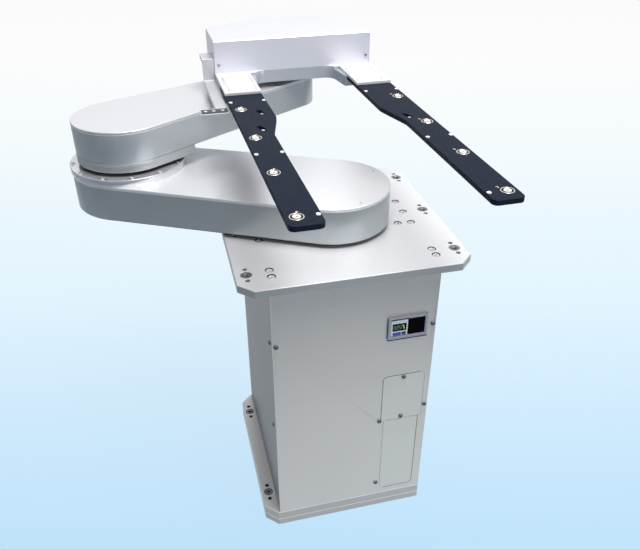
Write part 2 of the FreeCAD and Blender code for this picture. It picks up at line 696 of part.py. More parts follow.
connector_opening = (
    d.connector_panel_width - d.connector_lap * 2, d.connector_panel_height - d.connector_lap * 2
)
rear_wall = make_body("rear_wall")
rear_sketch = make_sketch(rear_wall, "XZ_Plane")
rectangle(
    rear_sketch, d.side_wall - half_width, 0,
    d.column_width - d.side_wall * 2, d.column_height,
)
rectangle(
    rear_sketch,
    -connector_opening[0] / 2,
    d.connector_panel_z - column_foot - connector_opening[1] / 2,
    *connector_opening,
)
pad(rear_wall, rear_sketch, d.rear_wall_thick)
place(rear_wall, along=half_depth, up=column_foot)

# ---------------------------------------------------------------- front cover and its panels
panel_height = d.panel_top - d.panel_split
lower_panel_height = d.panel_split - d.panel_bottom
panel_screws = [
    (d.upper_panel_left - d.panel_screw_gap, level)
    for level in (d.panel_screw_high, d.panel_screw_low)
]
upper_panel_screws = [
    (d.panel_screw_x, level)
    for level in (d.panel_split + d.panel_screw_inset, d.panel_top - d.panel_screw_inset)
]
panel_left, lower_left = d.upper_panel_left, d.lower_panel_left
panel_right = panel_left + d.upper_panel_width
lower_right = lower_left + d.lower_panel_width
panel_low, panel_mid, panel_high = d.panel_bottom, d.panel_split, d.panel_top
bezel_middle = (d.bezel_left + d.bezel_width / 2, d.bezel_bottom + d.bezel_height / 2)
gauge_z = bezel_middle[1] + d.gauge_lift
gauge_cut = (d.gauge_width * 2 + d.gauge_gap * 3, d.gauge_height + d.gauge_gap * 2)

front_cover = make_body("front_cover")
cover_sketch = make_sketch(front_cover, "XZ_Plane")
rectangle(cover_sketch, -half_width, 0, d.column_width, d.column_height)
polygon(cover_sketch, [
    (panel_left, panel_mid - column_foot),
    (lower_left, panel_mid - column_foot),
    (lower_left, panel_low - column_foot),
    (lower_right, panel_low - column_foot),
    (lower_right, panel_mid - column_foot),
    (panel_right, panel_mid - column_foot),
    (panel_right, panel_high - column_foot),
    (panel_left, panel_high - column_foot),
])
rectangle(
    cover_sketch,
    bezel_middle[0] - gauge_cut[0] / 2,
    gauge_z - gauge_cut[1] / 2 - column_foot,
    *gauge_cut,
)
for x, level in front_screws + panel_screws:
    circle(cover_sketch, (x, level - column_foot), d.cover_screw_shank)
pad(front_cover, cover_sketch, d.front_cover_thick)
place(front_cover, along=wall_front, up=column_foot)


def front_edges(feature, corners):
    """Names of the edges that run front to rear at the given places across and up."""
    names = []
    for number, edge in enumerate(feature.Shape.Edges, 1):
        ends = [vertex.Point for vertex in edge.Vertexes]
        for corner in corners:
            spot = [size(part).value for part in corner]
            if len(ends) == 2 and all(math.dist((end.x, end.z), spot) < 1e-3 for end in ends):
                names.append(f"Edge{number}")
    return names


def round_front(body, corners, radius):
    """Rounds the corners of a plate that faces the front."""
    base = body.Tip
    feature = body.newObject("PartDesign::Fillet", f"{body.Name}_corners")
    feature.Base = (base, front_edges(base, corners))
    feature.setExpression("Radius", radius.text)
    doc.recompute()


def access_panel(label, left, low, width, height, corners, screws):
    """A flush access panel with a gap all round, modelled from the column's foot."""
    body = make_body(label)
    outline = make_sketch(body, "XZ_Plane")
    gap = d.panel_gap
    rectangle(outline, left + gap, low + gap - column_foot, width - gap * 2, height - gap * 2)
    for x, level in screws:
        circle(outline, (x, level - column_foot), d.cover_screw_shank)
    pad(body, outline, d.front_cover_thick)
    round_front(body, [(x, level - column_foot) for x, level in corners], d.panel_corner)
    return place(body, along=wall_front, up=column_foot)


round_front(
    front_cover,
    [(x, level - column_foot) for x, level in (
        (panel_left, panel_high), (panel_right, panel_high),
        (lower_left, panel_low), (lower_right, panel_low),
    )],
    d.panel_corner + d.panel_gap,
)
access_panel(
    "upper_access_panel", panel_left, panel_mid, d.upper_panel_width, panel_height,
    [(panel_left + d.panel_gap, panel_high - d.panel_gap),
     (panel_right - d.panel_gap, panel_high - d.panel_gap)],
    upper_panel_screws,
)
access_panel(
    "lower_access_panel", lower_left, panel_low, d.lower_panel_width, lower_panel_height,
    [(lower_left + d.panel_gap, panel_low + d.panel_gap),
     (lower_right - d.panel_gap, panel_low + d.panel_gap)],
    [],
)

# A strip behind the cover carries the panels.
panel_backing = make_body("panel_backing")
backing_sketch = make_sketch(panel_backing, "XZ_Plane")
backing_left = panel_left - d.backing_margin
backing_right = half_width - d.side_wall - d.panel_gap
rectangle(
    backing_sketch, backing_left, panel_low - d.backing_margin - column_foot,
    backing_right - backing_left, panel_high - panel_low + d.backing_margin * 2,
)
for low, high in ((panel_low, panel_mid), (panel_mid, panel_high)):
    rectangle(
        backing_sketch, lower_left + d.backing_margin, low + d.backing_web - column_foot,
        d.lower_panel_width - d.backing_margin * 2, high - low - d.backing_web * 2,
    )
for x, level in panel_screws + upper_panel_screws:
    circle(backing_sketch, (x, level - column_foot), d.cover_screw_shank)
pad(panel_backing, backing_sketch, d.backing_thick)
place(panel_backing, along=wall_front + d.backing_thick, up=column_foot)

button_screw = cap_screw(
    d.cover_screw_head, d.cover_screw_rise, d.cover_screw_shank, d.cover_screw_length
)
front = Vector(0, -1, 0)
group("cover_screws", copies(
    button_screw,
    [(x, -half_depth, level) for x, level in front_screws + panel_screws + upper_panel_screws],
    front,
) + [
    screw
    for side in (-1, 1)
    for screw in copies(
        button_screw,
        [(side * half_width, side_screw_y, level) for level in side_screw_heights],
        Vector(side, 0, 0),
    )
])

# ---------------------------------------------------------------- panel gauges
bezel = make_body("gauge_bezel")
bezel_sketch = make_sketch(bezel, "XZ_Plane")
rectangle(bezel_sketch, -d.bezel_width / 2, -d.bezel_height / 2, d.bezel_width, d.bezel_height)
rectangle(bezel_sketch, -gauge_cut[0] / 2, d.gauge_lift - gauge_cut[1] / 2, *gauge_cut)
pad(bezel, bezel_sketch, d.bezel_rise)
place(bezel, bezel_middle[0], -half_depth, bezel_middle[1])

cell_pitch = d.gauge_width + d.gauge_gap
face_y = -half_depth - d.bezel_rise + d.gauge_sink
gauge_x = bezel_middle[0] - cell_pitch / 2
keys_left = -(d.button_width + d.button_gap + d.button_short) / 2
buttons = {
    "gauge_button_left": (keys_left + d.button_width / 2, d.button_width),
    "gauge_button_right": (-keys_left - d.button_short / 2, d.button_short),
}
display_sunk = d.display_thick + d.display_sink

gauge = make_body("pressure_gauge")
gauge_sketch = make_sketch(gauge, "XZ_Plane")
rectangle(gauge_sketch, -d.gauge_width / 2, -d.gauge_height / 2, d.gauge_width, d.gauge_height)
pad(gauge, gauge_sketch, d.gauge_depth)
window = make_sketch(gauge, "XZ_Plane", d.gauge_depth)
rectangle(
    window, -d.display_width / 2, d.display_lift - d.display_height / 2,
    d.display_width, d.display_height,
)
pocket(gauge, window, display_sunk)
wells = make_sketch(gauge, "XZ_Plane", d.gauge_depth)
for x, width in buttons.values():
    rectangle(
        wells, x - width / 2 - d.button_play,
        -d.button_drop - d.button_height / 2 - d.button_play,
        width + d.button_play * 2, d.button_height + d.button_play * 2,
    )
pocket(gauge, wells, d.button_well)
place(gauge, gauge_x, face_y + d.gauge_depth, gauge_z)

display = make_body("gauge_display")
display_sketch = make_sketch(display, "XZ_Plane")
rectangle(
    display_sketch, -d.display_width / 2, d.display_lift - d.display_height / 2,
    d.display_width, d.display_height,
)
pad(display, display_sketch, d.display_thick)
place(display, gauge_x, face_y + display_sunk, gauge_z)

for name, (x, width) in buttons.items():
    button = make_body(name)
    button_sketch = make_sketch(button, "XZ_Plane")
    rectangle(button_sketch, -width / 2, -d.button_height / 2, width, d.button_height)
    pad(button, button_sketch, d.button_rise + d.button_root)
    place(button, gauge_x + x, face_y + d.button_root, gauge_z - d.button_drop)

blank = make_body("gauge_blank")
blank_sketch = make_sketch(blank, "XZ_Plane")
rectangle(blank_sketch, -d.gauge_width / 2, -d.gauge_height / 2, d.gauge_width, d.gauge_height)
pad(blank, blank_sketch, d.gauge_depth)
blank_window = make_sketch(blank, "XZ_Plane", d.gauge_depth)
rectangle(
    blank_window, -d.gauge_width / 2 + d.blank_rim, -d.gauge_height / 2 + d.blank_rim,
    d.gauge_width - d.blank_rim * 2, d.gauge_height - d.blank_rim * 2,
)
pocket(blank, blank_window, d.blank_sink)
place(blank, bezel_middle[0] + cell_pitch / 2, face_y + d.gauge_depth, gauge_z)

# ---------------------------------------------------------------- rear connector panel
connector_panel = make_body("connector_panel")
connector_sketch = make_sketch(connector_panel, "XZ_Plane")
rectangle(
    connector_sketch, -d.connector_panel_width / 2, -d.connector_panel_height / 2,
    d.connector_panel_width, d.connector_panel_height,
)
receptacles = [(side * d.connector_spread, size(0)) for side in (-1, 1)]
fittings = [(size(0), side * d.fitting_spread) for side in (-1, 1)]
for spot in receptacles:
    circle(connector_sketch, spot, d.connector_diameter - d.connector_collar * 2)
for spot in fittings:
    circle(connector_sketch, spot, d.fitting_diameter - d.fitting_collar * 2)
pad(connector_panel, connector_sketch, d.connector_panel_thick)
panel_back = half_depth + d.connector_panel_thick
place(connector_panel, along=panel_back, up=d.connector_panel_z)


def stepped_pin(diameter, length, step, stem_length, wall):
    """A round piece with a collar outside the panel and a stem through it."""
    diameter, length, step, stem_length, wall, bore_share = [
        part.value for part in (diameter, length, step, stem_length, wall, d.fitting_bore)
    ]
    pin = Part.makeCylinder(diameter / 2, length)
    stem = Part.makeCylinder(diameter / 2 - step, stem_length, Vector(0, 0, -stem_length))
    depth = length * bore_share
    bore = Part.makeCylinder(diameter / 2 - wall, depth, Vector(0, 0, length - depth))
    return pin.fuse(stem).cut(bore)


rear = Vector(0, 1, 0)
group("signal_connectors", copies(
    stepped_pin(
        d.connector_diameter, d.connector_length, d.connector_collar, d.connector_length,
        d.connector_wall,
    ),
    [(x, panel_back, z + d.connector_panel_z) for x, z in receptacles], rear,
))
group("air_fittings", copies(
    stepped_pin(
        d.fitting_diameter, d.fitting_length, d.fitting_collar, d.fitting_stem, d.fitting_wall
    ),
    [(x, panel_back, z + d.connector_panel_z) for x, z in fittings], rear,
))

# ---------------------------------------------------------------- top plate
bush_x = d.plate_width / 2 - d.bush_inset
bushes = [(side * bush_x, step * d.bush_pitch) for side in (-1, 1) for step in (-1, 0, 1)]
bush_jacks = [(x, y + side * d.jack_pitch / 2) for x, y in bushes for side in (-1, 1)]
plate_screws = corner_screws + row_screws + [inner_screw]
plate_half = (d.plate_width / 2, d.plate_depth / 2)
seal_bore = d.tube_outer + d.seal_gap * 2
seal_seat = d.tube_outer + d.seal_neck * 2

top_plate = make_body("top_plate")
plate_sketch = make_sketch(top_plate)
polygon(plate_sketch, [
    (side_x * (plate_half[0] - cut_x), side_y * (plate_half[1] - cut_y))
    for side_x, side_y, cut_x, cut_y in (
        (-1, -1, d.plate_chamfer, 0), (1, -1, d.plate_chamfer, 0),
        (1, -1, 0, d.plate_chamfer), (1, 1, 0, d.plate_chamfer),
        (1, 1, d.plate_chamfer, 0), (-1, 1, d.plate_chamfer, 0),
        (-1, 1, 0, d.plate_chamfer), (-1, -1, 0, d.plate_chamfer),
    )
])
pad(top_plate, plate_sketch, d.plate_thick)
bevel_rim(top_plate, 0, d.plate_edge)
bevel_rim(top_plate, d.plate_thick, d.plate_edge)
drill(top_plate, d.plate_thick, [(0, 0)], seal_seat, d.plate_thick)
drill(top_plate, d.plate_thick, bushes, d.bush_diameter, d.plate_thick)
drill(top_plate, d.plate_thick, bush_jacks, d.jack_hole, d.plate_thick)
shank_hole = d.cap_shank + d.cap_hole_gap * 2
drill(top_plate, d.plate_thick, plate_screws, shank_hole, d.plate_thick)
drill(top_plate, d.plate_thick, plate_screws, d.cap_sink, d.cap_sink_depth)
place(top_plate, up=column_top)

bush_height = d.plate_thick - d.bush_sink - d.bush_foot
bush_shape = Part.makeCylinder(d.bush_diameter.value / 2, bush_height.value).cut(
    Part.makeCylinder(d.bush_bore.value / 2, bush_height.value)
)
group("level_bushes", copies(bush_shape, [(x, y, column_top + d.bush_foot) for x, y in bushes]))
plate_screw = cap_screw(
    d.cap_head, d.cap_head_height, d.cap_shank, d.cap_grip, d.cap_socket
)
group("plate_screws", copies(
    plate_screw, [(x, y, plate_top - d.cap_sink_depth) for x, y in plate_screws]
))

dust_seal = make_body("dust_seal")
seal_sketch = make_sketch(dust_seal)
circle(seal_sketch, (0, 0), d.seal_outer)
circle(seal_sketch, (0, 0), seal_bore)
pad(dust_seal, seal_sketch, d.seal_height)
neck = make_sketch(dust_seal)
circle(neck, (0, 0), seal_seat)
circle(neck, (0, 0), seal_bore)
neck_pad = pad(dust_seal, neck, d.plate_thick)
neck_pad.Reversed = True
place(dust_seal, up=plate_top)

# ---------------------------------------------------------------- lift drive in the column
rail_foot = column_foot + d.rail_foot_gap
rail_inner = half_width - d.side_wall - d.rail_size
rail_x = rail_inner + d.rail_size / 2


def box_at(left, near, foot, width, depth, height):
    """A plain block from its lower corner."""
    corner = Vector(size(left).value, size(near).value, size(foot).value)
    return Part.makeBox(size(width).value, size(depth).value, size(height).value, corner)


def collar(outer, inner, height, up):
    """A plain ring about the swivel axis as a bare shape."""
    foot = Vector(0, 0, size(up).value)
    ring = Part.makeCylinder(size(outer).value / 2, size(height).value, foot)
    return ring.cut(Part.makeCylinder(size(inner).value / 2, size(height).value, foot))


group("linear_rails", [
    box_at(
        side * rail_x - d.rail_size / 2, -d.rail_size / 2, rail_foot,
        d.rail_size, d.rail_size, d.rail_length,
    )
    for side in (-1, 1)
])

journal = d.screw_diameter + d.bearing_clearance * 2
motor_corner = d.lift_motor_size / 2
lift_motor = make_body("lift_motor")
motor_sketch = make_sketch(lift_motor)
rectangle(motor_sketch, -motor_corner, -motor_corner, d.lift_motor_size, d.lift_motor_size)
pad(lift_motor, motor_sketch, d.lift_motor_height)
drill(lift_motor, d.lift_motor_height, [(0, 0)], journal, d.journal_depth)
dress(lift_motor, "Chamfer", [
    (across * motor_corner, along * motor_corner) for across in (-1, 1) for along in (-1, 1)
], d.motor_chamfer)
place(lift_motor, 0, d.screw_y, column_foot)

screw_foot = column_foot + d.lift_motor_height - d.journal_depth + d.journal_gap
ball_screw = make_body("ball_screw")
screw_sketch = make_sketch(ball_screw)
circle(screw_sketch, (0, 0), d.screw_diameter)
pad(ball_screw, screw_sketch, d.screw_length)
place(ball_screw, 0, d.screw_y, screw_foot)

# ---------------------------------------------------------------- lift carriage and tube
shelf_low = d.shelf_top - d.shelf_thick
cheek_low = shelf_low - d.cheek_height
block_back = half_width - d.side_wall - d.block_gap
block_inner = block_back - d.block_depth

carriage = make_body("lift_carriage")
shelf_sketch = make_sketch(carriage, level=d.cheek_height)
rectangle(
    shelf_sketch, -block_inner, -d.shelf_front, block_inner * 2, d.shelf_front + d.shelf_back
)
circle(shelf_sketch, (0, 0), d.outer_shaft + d.shelf_bore_gap * 2)
circle(shelf_sketch, (0, d.screw_y), d.nut_diameter)
pad(carriage, shelf_sketch, d.shelf_thick)
for side in (-1, 1):
    cheek_sketch = make_sketch(carriage)
    cheek_left = -block_inner if side < 0 else block_inner - d.cheek_thick
    rectangle(cheek_sketch, cheek_left, -d.block_width / 2, d.cheek_thick, d.block_width)
    pad(carriage, cheek_sketch, d.cheek_height)
place(carriage, up=cheek_low)

block_low = cheek_low + (d.cheek_height - d.block_height) / 2
slot_size = d.rail_size + d.rail_clearance * 2
guide_blocks = []
for side in (-1, 1):
    middle = side * (block_inner + d.block_depth / 2)
    block = box_at(
        middle - d.block_depth / 2, -d.block_width / 2, block_low,
        d.block_depth, d.block_width, d.block_height,
    )
    channel = box_at(
        side * rail_x - slot_size / 2, -slot_size / 2, block_low,
        slot_size, slot_size, d.block_height,
    )
    guide_blocks.append(block.cut(channel))
group("guide_blocks", guide_blocks)

nut_bore = journal + d.nut_play
ball_nut = make_body("ball_nut")
nut_sketch = make_sketch(ball_nut)
circle(nut_sketch, (0, 0), d.nut_diameter)
circle(nut_sketch, (0, 0), nut_bore)
pad(ball_nut, nut_sketch, d.nut_length)
flange_ring = make_sketch(ball_nut)
circle(flange_ring, (0, 0), d.nut_flange)
circle(flange_ring, (0, 0), nut_bore)
pad(ball_nut, flange_ring, d.nut_flange_thick)
place(ball_nut, 0, d.screw_y, shelf_low - d.nut_flange_thick)

lower_bottom = plate_top + d.plate_gap
tube_top = lower_bottom - d.tube_gap
tube_bore = d.tube_outer - d.tube_wall * 2
ring_piece("lift_tube", d.tube_outer, tube_bore, tube_top - d.shelf_top, d.shelf_top)
lower_drive_foot = column_foot + d.drive_rise
upper_drive_foot = lower_drive_foot + d.lower_drive_height + d.drive_step
group("arm_drives", [
    collar(
        d.drive_diameter, d.inner_shaft + d.drive_gap, d.lower_drive_height, lower_drive_foot
    ),
    collar(
        d.drive_diameter, d.outer_shaft + d.drive_gap,
        shelf_low - upper_drive_foot, upper_drive_foot,
    ),
])
running = d.bearing_clearance * 2
high_bearing = tube_top - d.bearing_drop - d.bearing_height
group("shaft_bearings", [
    collar(tube_bore, d.outer_shaft + running, d.bearing_height, level)
    for level in (d.shelf_top + d.bearing_rise, high_bearing)
])

# ---------------------------------------------------------------- swivel shaft and arm shaft
pulley_low = lower_bottom + d.link_floor + d.pulley_rise
swivel_foot = lower_drive_foot + d.shaft_rise
swivel_top = pulley_low + d.pulley_height + d.pulley_top
swivel_shaft = make_body("swivel_shaft")
swivel_sketch = make_sketch(swivel_shaft)
circle(swivel_sketch, (0, 0), d.inner_shaft)
circle(swivel_sketch, (0, 0), d.inner_shaft_bore)
pad(swivel_shaft, swivel_sketch, swivel_top - swivel_foot)
pulley_sketch = make_sketch(swivel_shaft, level=pulley_low - swivel_foot)
circle(pulley_sketch, (0, 0), d.shoulder_pulley)
circle(pulley_sketch, (0, 0), d.inner_shaft_bore)
pad(swivel_shaft, pulley_sketch, d.pulley_height)
place(swivel_shaft, up=swivel_foot)

shaft_foot = upper_drive_foot + d.shaft_rise
ring_piece(
    "arm_shaft", d.outer_shaft, d.outer_shaft_bore, lower_bottom - shaft_foot, shaft_foot
)

# ---------------------------------------------------------------- lower link
lower_turn = 90 + d.fold_angle + d.swivel_angle
upper_turn = 90 - d.fold_angle + d.swivel_angle
reach = d.link_length.value
elbow_x = size(reach * math.cos(math.radians(lower_turn.value)))
elbow_y = size(reach * math.sin(math.radians(lower_turn.value)))
wrist_x = elbow_x + reach * math.cos(math.radians(upper_turn.value))
wrist_y = elbow_y + reach * math.sin(math.radians(upper_turn.value))
lower_case = d.lower_height - d.cover_thick
lower_top = lower_bottom + d.lower_height
elbow_bore = d.elbow_ring_bore
screw_bearing = math.radians(d.lower_screw_turn.value)
lower_cover_spots = [
    (size(d.lower_screw_ring.value * math.cos(side * screw_bearing)),
     size(d.lower_screw_ring.value * math.sin(side * screw_bearing)))
    for side in (-1, 1)
]
ring_bolts = [
    (d.link_length + d.elbow_ring_bolts.value * math.cos(2 * math.pi * number / count),
     size(d.elbow_ring_bolts.value * math.sin(2 * math.pi * number / count)))
    for count in (int(d.elbow_ring_count.value),)
    for number in range(count)
]


def link_case(label, near, far, height, bosses):
    """An open-topped link housing with a floor, even walls and screw bosses in it."""
    body = make_body(label)
    outline = make_sketch(body)
    link_outline(outline, near, far, d.link_length)
    pad(body, outline, height)
    bevel_rim(body, 0, d.case_edge)
    bevel_rim(body, height, d.seam_edge)
    inside = make_sketch(body, level=height)
    link_outline(inside, near - d.link_wall, far - d.link_wall, d.link_length)
    pocket(body, inside, height - d.link_floor)
    for spot in bosses:
        boss = make_sketch(body)
        circle(boss, spot, d.screw_boss)
        pad(body, boss, height)
    return body


def link_cover(label, near, far, holes):
    """A link's flat top cover with a bevelled rim."""
    body = make_body(label)
    outline = make_sketch(body)
    link_outline(outline, near, far, d.link_length)
    pad(body, outline, d.cover_thick)
    bevel_rim(body, 0, d.seam_edge)
    bevel_rim(body, d.cover_thick, d.cover_edge)
    for spot, diameter in holes:
        drill(body, d.cover_thick, [spot], diameter, d.cover_thick)
    return body


lower_case_body = link_case(
    "lower_link_housing", d.shoulder_radius, d.elbow_radius, lower_case, lower_cover_spots
)
drill(lower_case_body, d.link_floor, [(0, 0)], d.inner_shaft + d.drive_gap, d.link_floor)
drill(lower_case_body, lower_case, lower_cover_spots, d.flush_screw_shank, d.flush_screw_length)
far_bolts = [spot for spot in ring_bolts if spot[0].value >= d.link_length.value]
drill(lower_case_body, lower_case, far_bolts, d.ring_bolt_shank, d.ring_bolt_grip)
place(lower_case_body, up=lower_bottom, turn=lower_turn)

lower_cover = link_cover(
    "lower_link_cover", d.shoulder_radius, d.elbow_radius,
    [((d.link_length, size(0)), elbow_bore)],
)
drill(lower_cover, d.cover_thick, ring_bolts, d.ring_bolt_shank, d.cover_thick)
drill(lower_cover, d.cover_thick, lower_cover_spots, d.flush_screw_head, d.cover_thick)
place(lower_cover, up=lower_bottom + lower_case, turn=lower_turn)

flush_screw = cap_screw(
    d.flush_screw_head, d.flush_screw_rise, d.flush_screw_shank, d.flush_screw_length
)
turned = math.radians(lower_turn.value)


def in_row(spot, turn, origin=(0, 0)):
    """A place in a turned link or hand as floor coordinates."""
    across, along = [size(part).value for part in spot]
    return (
        origin[0] + across * math.cos(turn) - along * math.sin(turn),
        origin[1] + across * math.sin(turn) + along * math.cos(turn),
    )


cover_screw_set = copies(flush_screw, [
    (*in_row(spot, turned), lower_bottom + lower_case) for spot in lower_cover_spots
])

lower_belt = make_body("lower_belt")
belt_sketch = make_sketch(lower_belt)
shoulder_run = d.shoulder_pulley / 2 + d.belt_clearance
elbow_run = d.shoulder_pulley / 4 + d.belt_clearance
link_outline(belt_sketch, shoulder_run + d.belt_thick, elbow_run + d.belt_thick, d.link_length)
link_outline(belt_sketch, shoulder_run, elbow_run, d.link_length)
pad(lower_belt, belt_sketch, d.belt_width)
place(lower_belt, up=pulley_low + (d.pulley_height - d.belt_width) / 2, turn=lower_turn)

# ---------------------------------------------------------------- elbow
ring_top = lower_top + d.elbow_ring_height
belly_low = ring_top + d.elbow_gap
upper_bottom = belly_low + d.belly_height
upper_case = d.upper_height - d.cover_thick
upper_floor = upper_bottom + d.link_floor
belt_level = upper_floor + d.belt_lift
elbow_bolts = [(spot[0] - d.link_length, spot[1]) for spot in ring_bolts]

elbow_ring = make_body("elbow_ring")
ring_sketch = make_sketch(elbow_ring)
circle(ring_sketch, (0, 0), d.elbow_ring_radius * 2)
circle(ring_sketch, (0, 0), elbow_bore)
pad(elbow_ring, ring_sketch, d.elbow_ring_height)
drill(elbow_ring, d.elbow_ring_height, elbow_bolts, d.ring_bolt_shank, d.elbow_ring_height)
drill(elbow_ring, d.elbow_ring_height, elbow_bolts, d.ring_bolt_sink, d.ring_bolt_head_height)
place(elbow_ring, elbow_x, elbow_y, lower_top, lower_turn)

bolt_seat = ring_top - d.ring_bolt_head_height
bolt_reach = d.elbow_ring_height - d.ring_bolt_head_height + d.cover_thick
long_bolt, short_bolt = [
    cap_screw(d.ring_bolt_head, d.ring_bolt_head_height, d.ring_bolt_shank, length)
    for length in (bolt_reach + d.ring_bolt_grip - d.thread_runout, bolt_reach)
]
group("lower_link_screws", cover_screw_set + [
    bolt
    for spot in ring_bolts
    for bolt in copies(
        long_bolt if spot in far_bolts else short_bolt, [(*in_row(spot, turned), bolt_seat)]
    )
])


def stand_at(shape, across, along):
    """A bare shape moved from the swivel axis to another upright axis."""
    shape.translate(Vector(size(across).value, size(along).value, 0))
    return shape


group("link_bearings", [
    collar(
        d.outer_shaft_bore, d.inner_shaft + running, d.bearing_height,
        shaft_foot + d.bearing_drop,
    ),
    collar(d.outer_shaft_bore, d.inner_shaft + running, d.bearing_height, high_bearing),
    stand_at(
        collar(
            elbow_bore, d.elbow_shaft + running,
            d.elbow_ring_height - d.bearing_sink * 2, lower_top + d.bearing_sink,
        ),
        elbow_x, elbow_y,
    ),
])

post_foot = lower_bottom + d.link_floor
elbow_post = make_body("elbow_post")
post_sketch = make_sketch(elbow_post)
circle(post_sketch, (0, 0), d.elbow_post)
pad(elbow_post, post_sketch, belt_level + d.pulley_height - post_foot)
post_pulley = make_sketch(elbow_post, level=belt_level - post_foot)
circle(post_pulley, (0, 0), d.post_pulley)
pad(elbow_post, post_pulley, d.pulley_height)
place(elbow_post, elbow_x, elbow_y, post_foot, lower_turn)

elbow_foot = pulley_low - d.pulley_foot
elbow_shaft = make_body("elbow_shaft")
shaft_sketch = make_sketch(elbow_shaft)
circle(shaft_sketch, (0, 0), d.elbow_shaft)
circle(shaft_sketch, (0, 0), d.elbow_shaft_bore)
pad(elbow_shaft, shaft_sketch, upper_floor - elbow_foot)
elbow_pulley = make_sketch(elbow_shaft, level=pulley_low - elbow_foot)
circle(elbow_pulley, (0, 0), d.shoulder_pulley / 2)
circle(elbow_pulley, (0, 0), d.elbow_shaft_bore)
pad(elbow_shaft, elbow_pulley, d.pulley_height)
place(elbow_shaft, elbow_x, elbow_y, elbow_foot, upper_turn)

# ---------------------------------------------------------------- upper link
belly = make_body("belly_cover")
belly_sketch = make_sketch(belly)
link_outline(belly_sketch, d.upper_elbow_radius, d.wrist_radius, d.link_length)
pad(belly, belly_sketch, d.belly_height)
beyond = make_sketch(belly, level=d.belly_height)
rectangle(
    beyond, d.belly_reach, -d.upper_elbow_radius,
    d.link_length + d.wrist_radius, d.upper_elbow_radius * 2,
)
pocket(belly, beyond, d.belly_height)
bevel_rim(belly, 0, d.case_edge)
drill(belly, d.belly_height, [(0, 0)], d.elbow_shaft + d.belly_bore_gap, d.belly_height)
place(belly, elbow_x, elbow_y, belly_low, upper_turn)

upper_case_body = link_case(
    "upper_link_housing", d.upper_elbow_radius, d.wrist_radius, upper_case, []
)
drill(upper_case_body, d.link_floor, [(0, 0)], d.elbow_shaft, d.link_floor)
place(upper_case_body, elbow_x, elbow_y, upper_bottom, upper_turn)
upper_cover = link_cover(
    "upper_link_cover", d.upper_elbow_radius, d.wrist_radius,
    [((d.link_length, size(0)), d.wrist_bearing)],
)
place(upper_cover, elbow_x, elbow_y, upper_bottom + upper_case, upper_turn)
upper_top = upper_bottom + d.upper_height

upper_belt = make_body("upper_belt")
upper_belt_sketch = make_sketch(upper_belt)
post_run = d.post_pulley / 2 + d.belt_clearance
wrist_run = d.post_pulley + d.belt_clearance
link_outline(upper_belt_sketch, post_run + d.belt_thick, wrist_run + d.belt_thick, d.link_length)
link_outline(upper_belt_sketch, post_run, wrist_run, d.link_length)
pad(upper_belt, upper_belt_sketch, d.belt_width)
place(
    upper_belt, elbow_x, elbow_y, belt_level + (d.pulley_height - d.belt_width) / 2, upper_turn
)

group("upper_link_bearings", [
    stand_at(
        collar(
            d.elbow_shaft_bore, d.elbow_post + running, d.bearing_height,
            upper_bottom - d.post_bearing_drop,
        ),
        elbow_x, elbow_y,
    ),
    stand_at(
        collar(
            d.wrist_bearing, d.wrist_shaft + running, d.belt_lift - d.wrist_bearing_gap,
            upper_floor,
        ),
        wrist_x, wrist_y,
    ),
    stand_at(
        collar(
            d.wrist_bearing, d.wrist_shaft + running, d.bearing_height,
            upper_top - d.bearing_height - d.bearing_sink,
        ),
        wrist_x, wrist_y,
    ),
])

# ---------------------------------------------------------------- wrist and hand base
hand_low = upper_top + d.hand_gap
wrist_foot = upper_floor + d.wrist_rise
wrist_shaft = make_body("wrist_shaft")
wrist_sketch = make_sketch(wrist_shaft)
circle(wrist_sketch, (0, 0), d.wrist_shaft)
pad(wrist_shaft, wrist_sketch, hand_low - wrist_foot)
for foot, width, height in (
    (belt_level, d.post_pulley * 2, d.pulley_height),
    (hand_low - d.wrist_flange_thick, d.wrist_flange, d.wrist_flange_thick),
):
    disc = make_sketch(wrist_shaft, level=foot - wrist_foot)
    circle(disc, (0, 0), width)
    pad(wrist_shaft, disc, height)
place(wrist_shaft, wrist_x, wrist_y, wrist_foot, d.swivel_angle)

hand_rear = [
    (d.hand_half, d.hand_side_back),
    (d.hand_back_flat, d.hand_back),
    (-d.hand_back_flat, d.hand_back),
    (-d.hand_half, d.hand_side_back),
]
hand_corners = [hand_rear[0], hand_rear[3]]
hand_bends = [hand_rear[1], hand_rear[2]]
base_top = hand_low + d.hand_base_thick
finger_low = base_top - d.clamp_thick - d.finger_thick
tongue_half = (d.hand_half - d.finger_root) / 2 - d.tongue_inset
tongue_middle = (d.hand_half + d.finger_root) / 2
tongue_back = d.clamp_back + d.tongue_start
overcut = size(1)

hand_base = make_body("hand_base_plate")
hand_sketch = make_sketch(hand_base)
polygon(hand_sketch, hand_rear + [
    (-d.hand_half, -d.arm_reach),
    (-d.notch_mouth, -d.arm_reach),
    (-d.notch_root, -d.hand_front),
    (d.notch_root, -d.hand_front),
    (d.notch_mouth, -d.arm_reach),
    (d.hand_half, -d.arm_reach),
])
pad(hand_base, hand_sketch, d.hand_base_thick)
dress(hand_base, "Fillet", hand_corners, d.hand_corner)
dress(hand_base, "Fillet", hand_bends, d.hand_bend)
dress(hand_base, "Fillet", [
    (side * d.notch_root, -d.hand_front) for side in (-1, 1)
], d.notch_corner)
for side in (-1, 1):
    seat = make_sketch(hand_base, level=d.hand_base_thick)
    near = -d.hand_half - overcut if side < 0 else d.notch_root
    rectangle(
        seat, near, -d.arm_reach - overcut,
        d.hand_half - d.notch_root + overcut, d.arm_reach - d.clamp_back + overcut,
    )
    pocket(hand_base, seat, d.clamp_thick)
    socket = make_sketch(hand_base, level=d.hand_base_thick - d.clamp_thick)
    rectangle(
        socket, side * tongue_middle - tongue_half, -d.arm_reach - overcut,
        tongue_half * 2, d.arm_reach - tongue_back + overcut,
    )
    pocket(hand_base, socket, d.finger_thick)
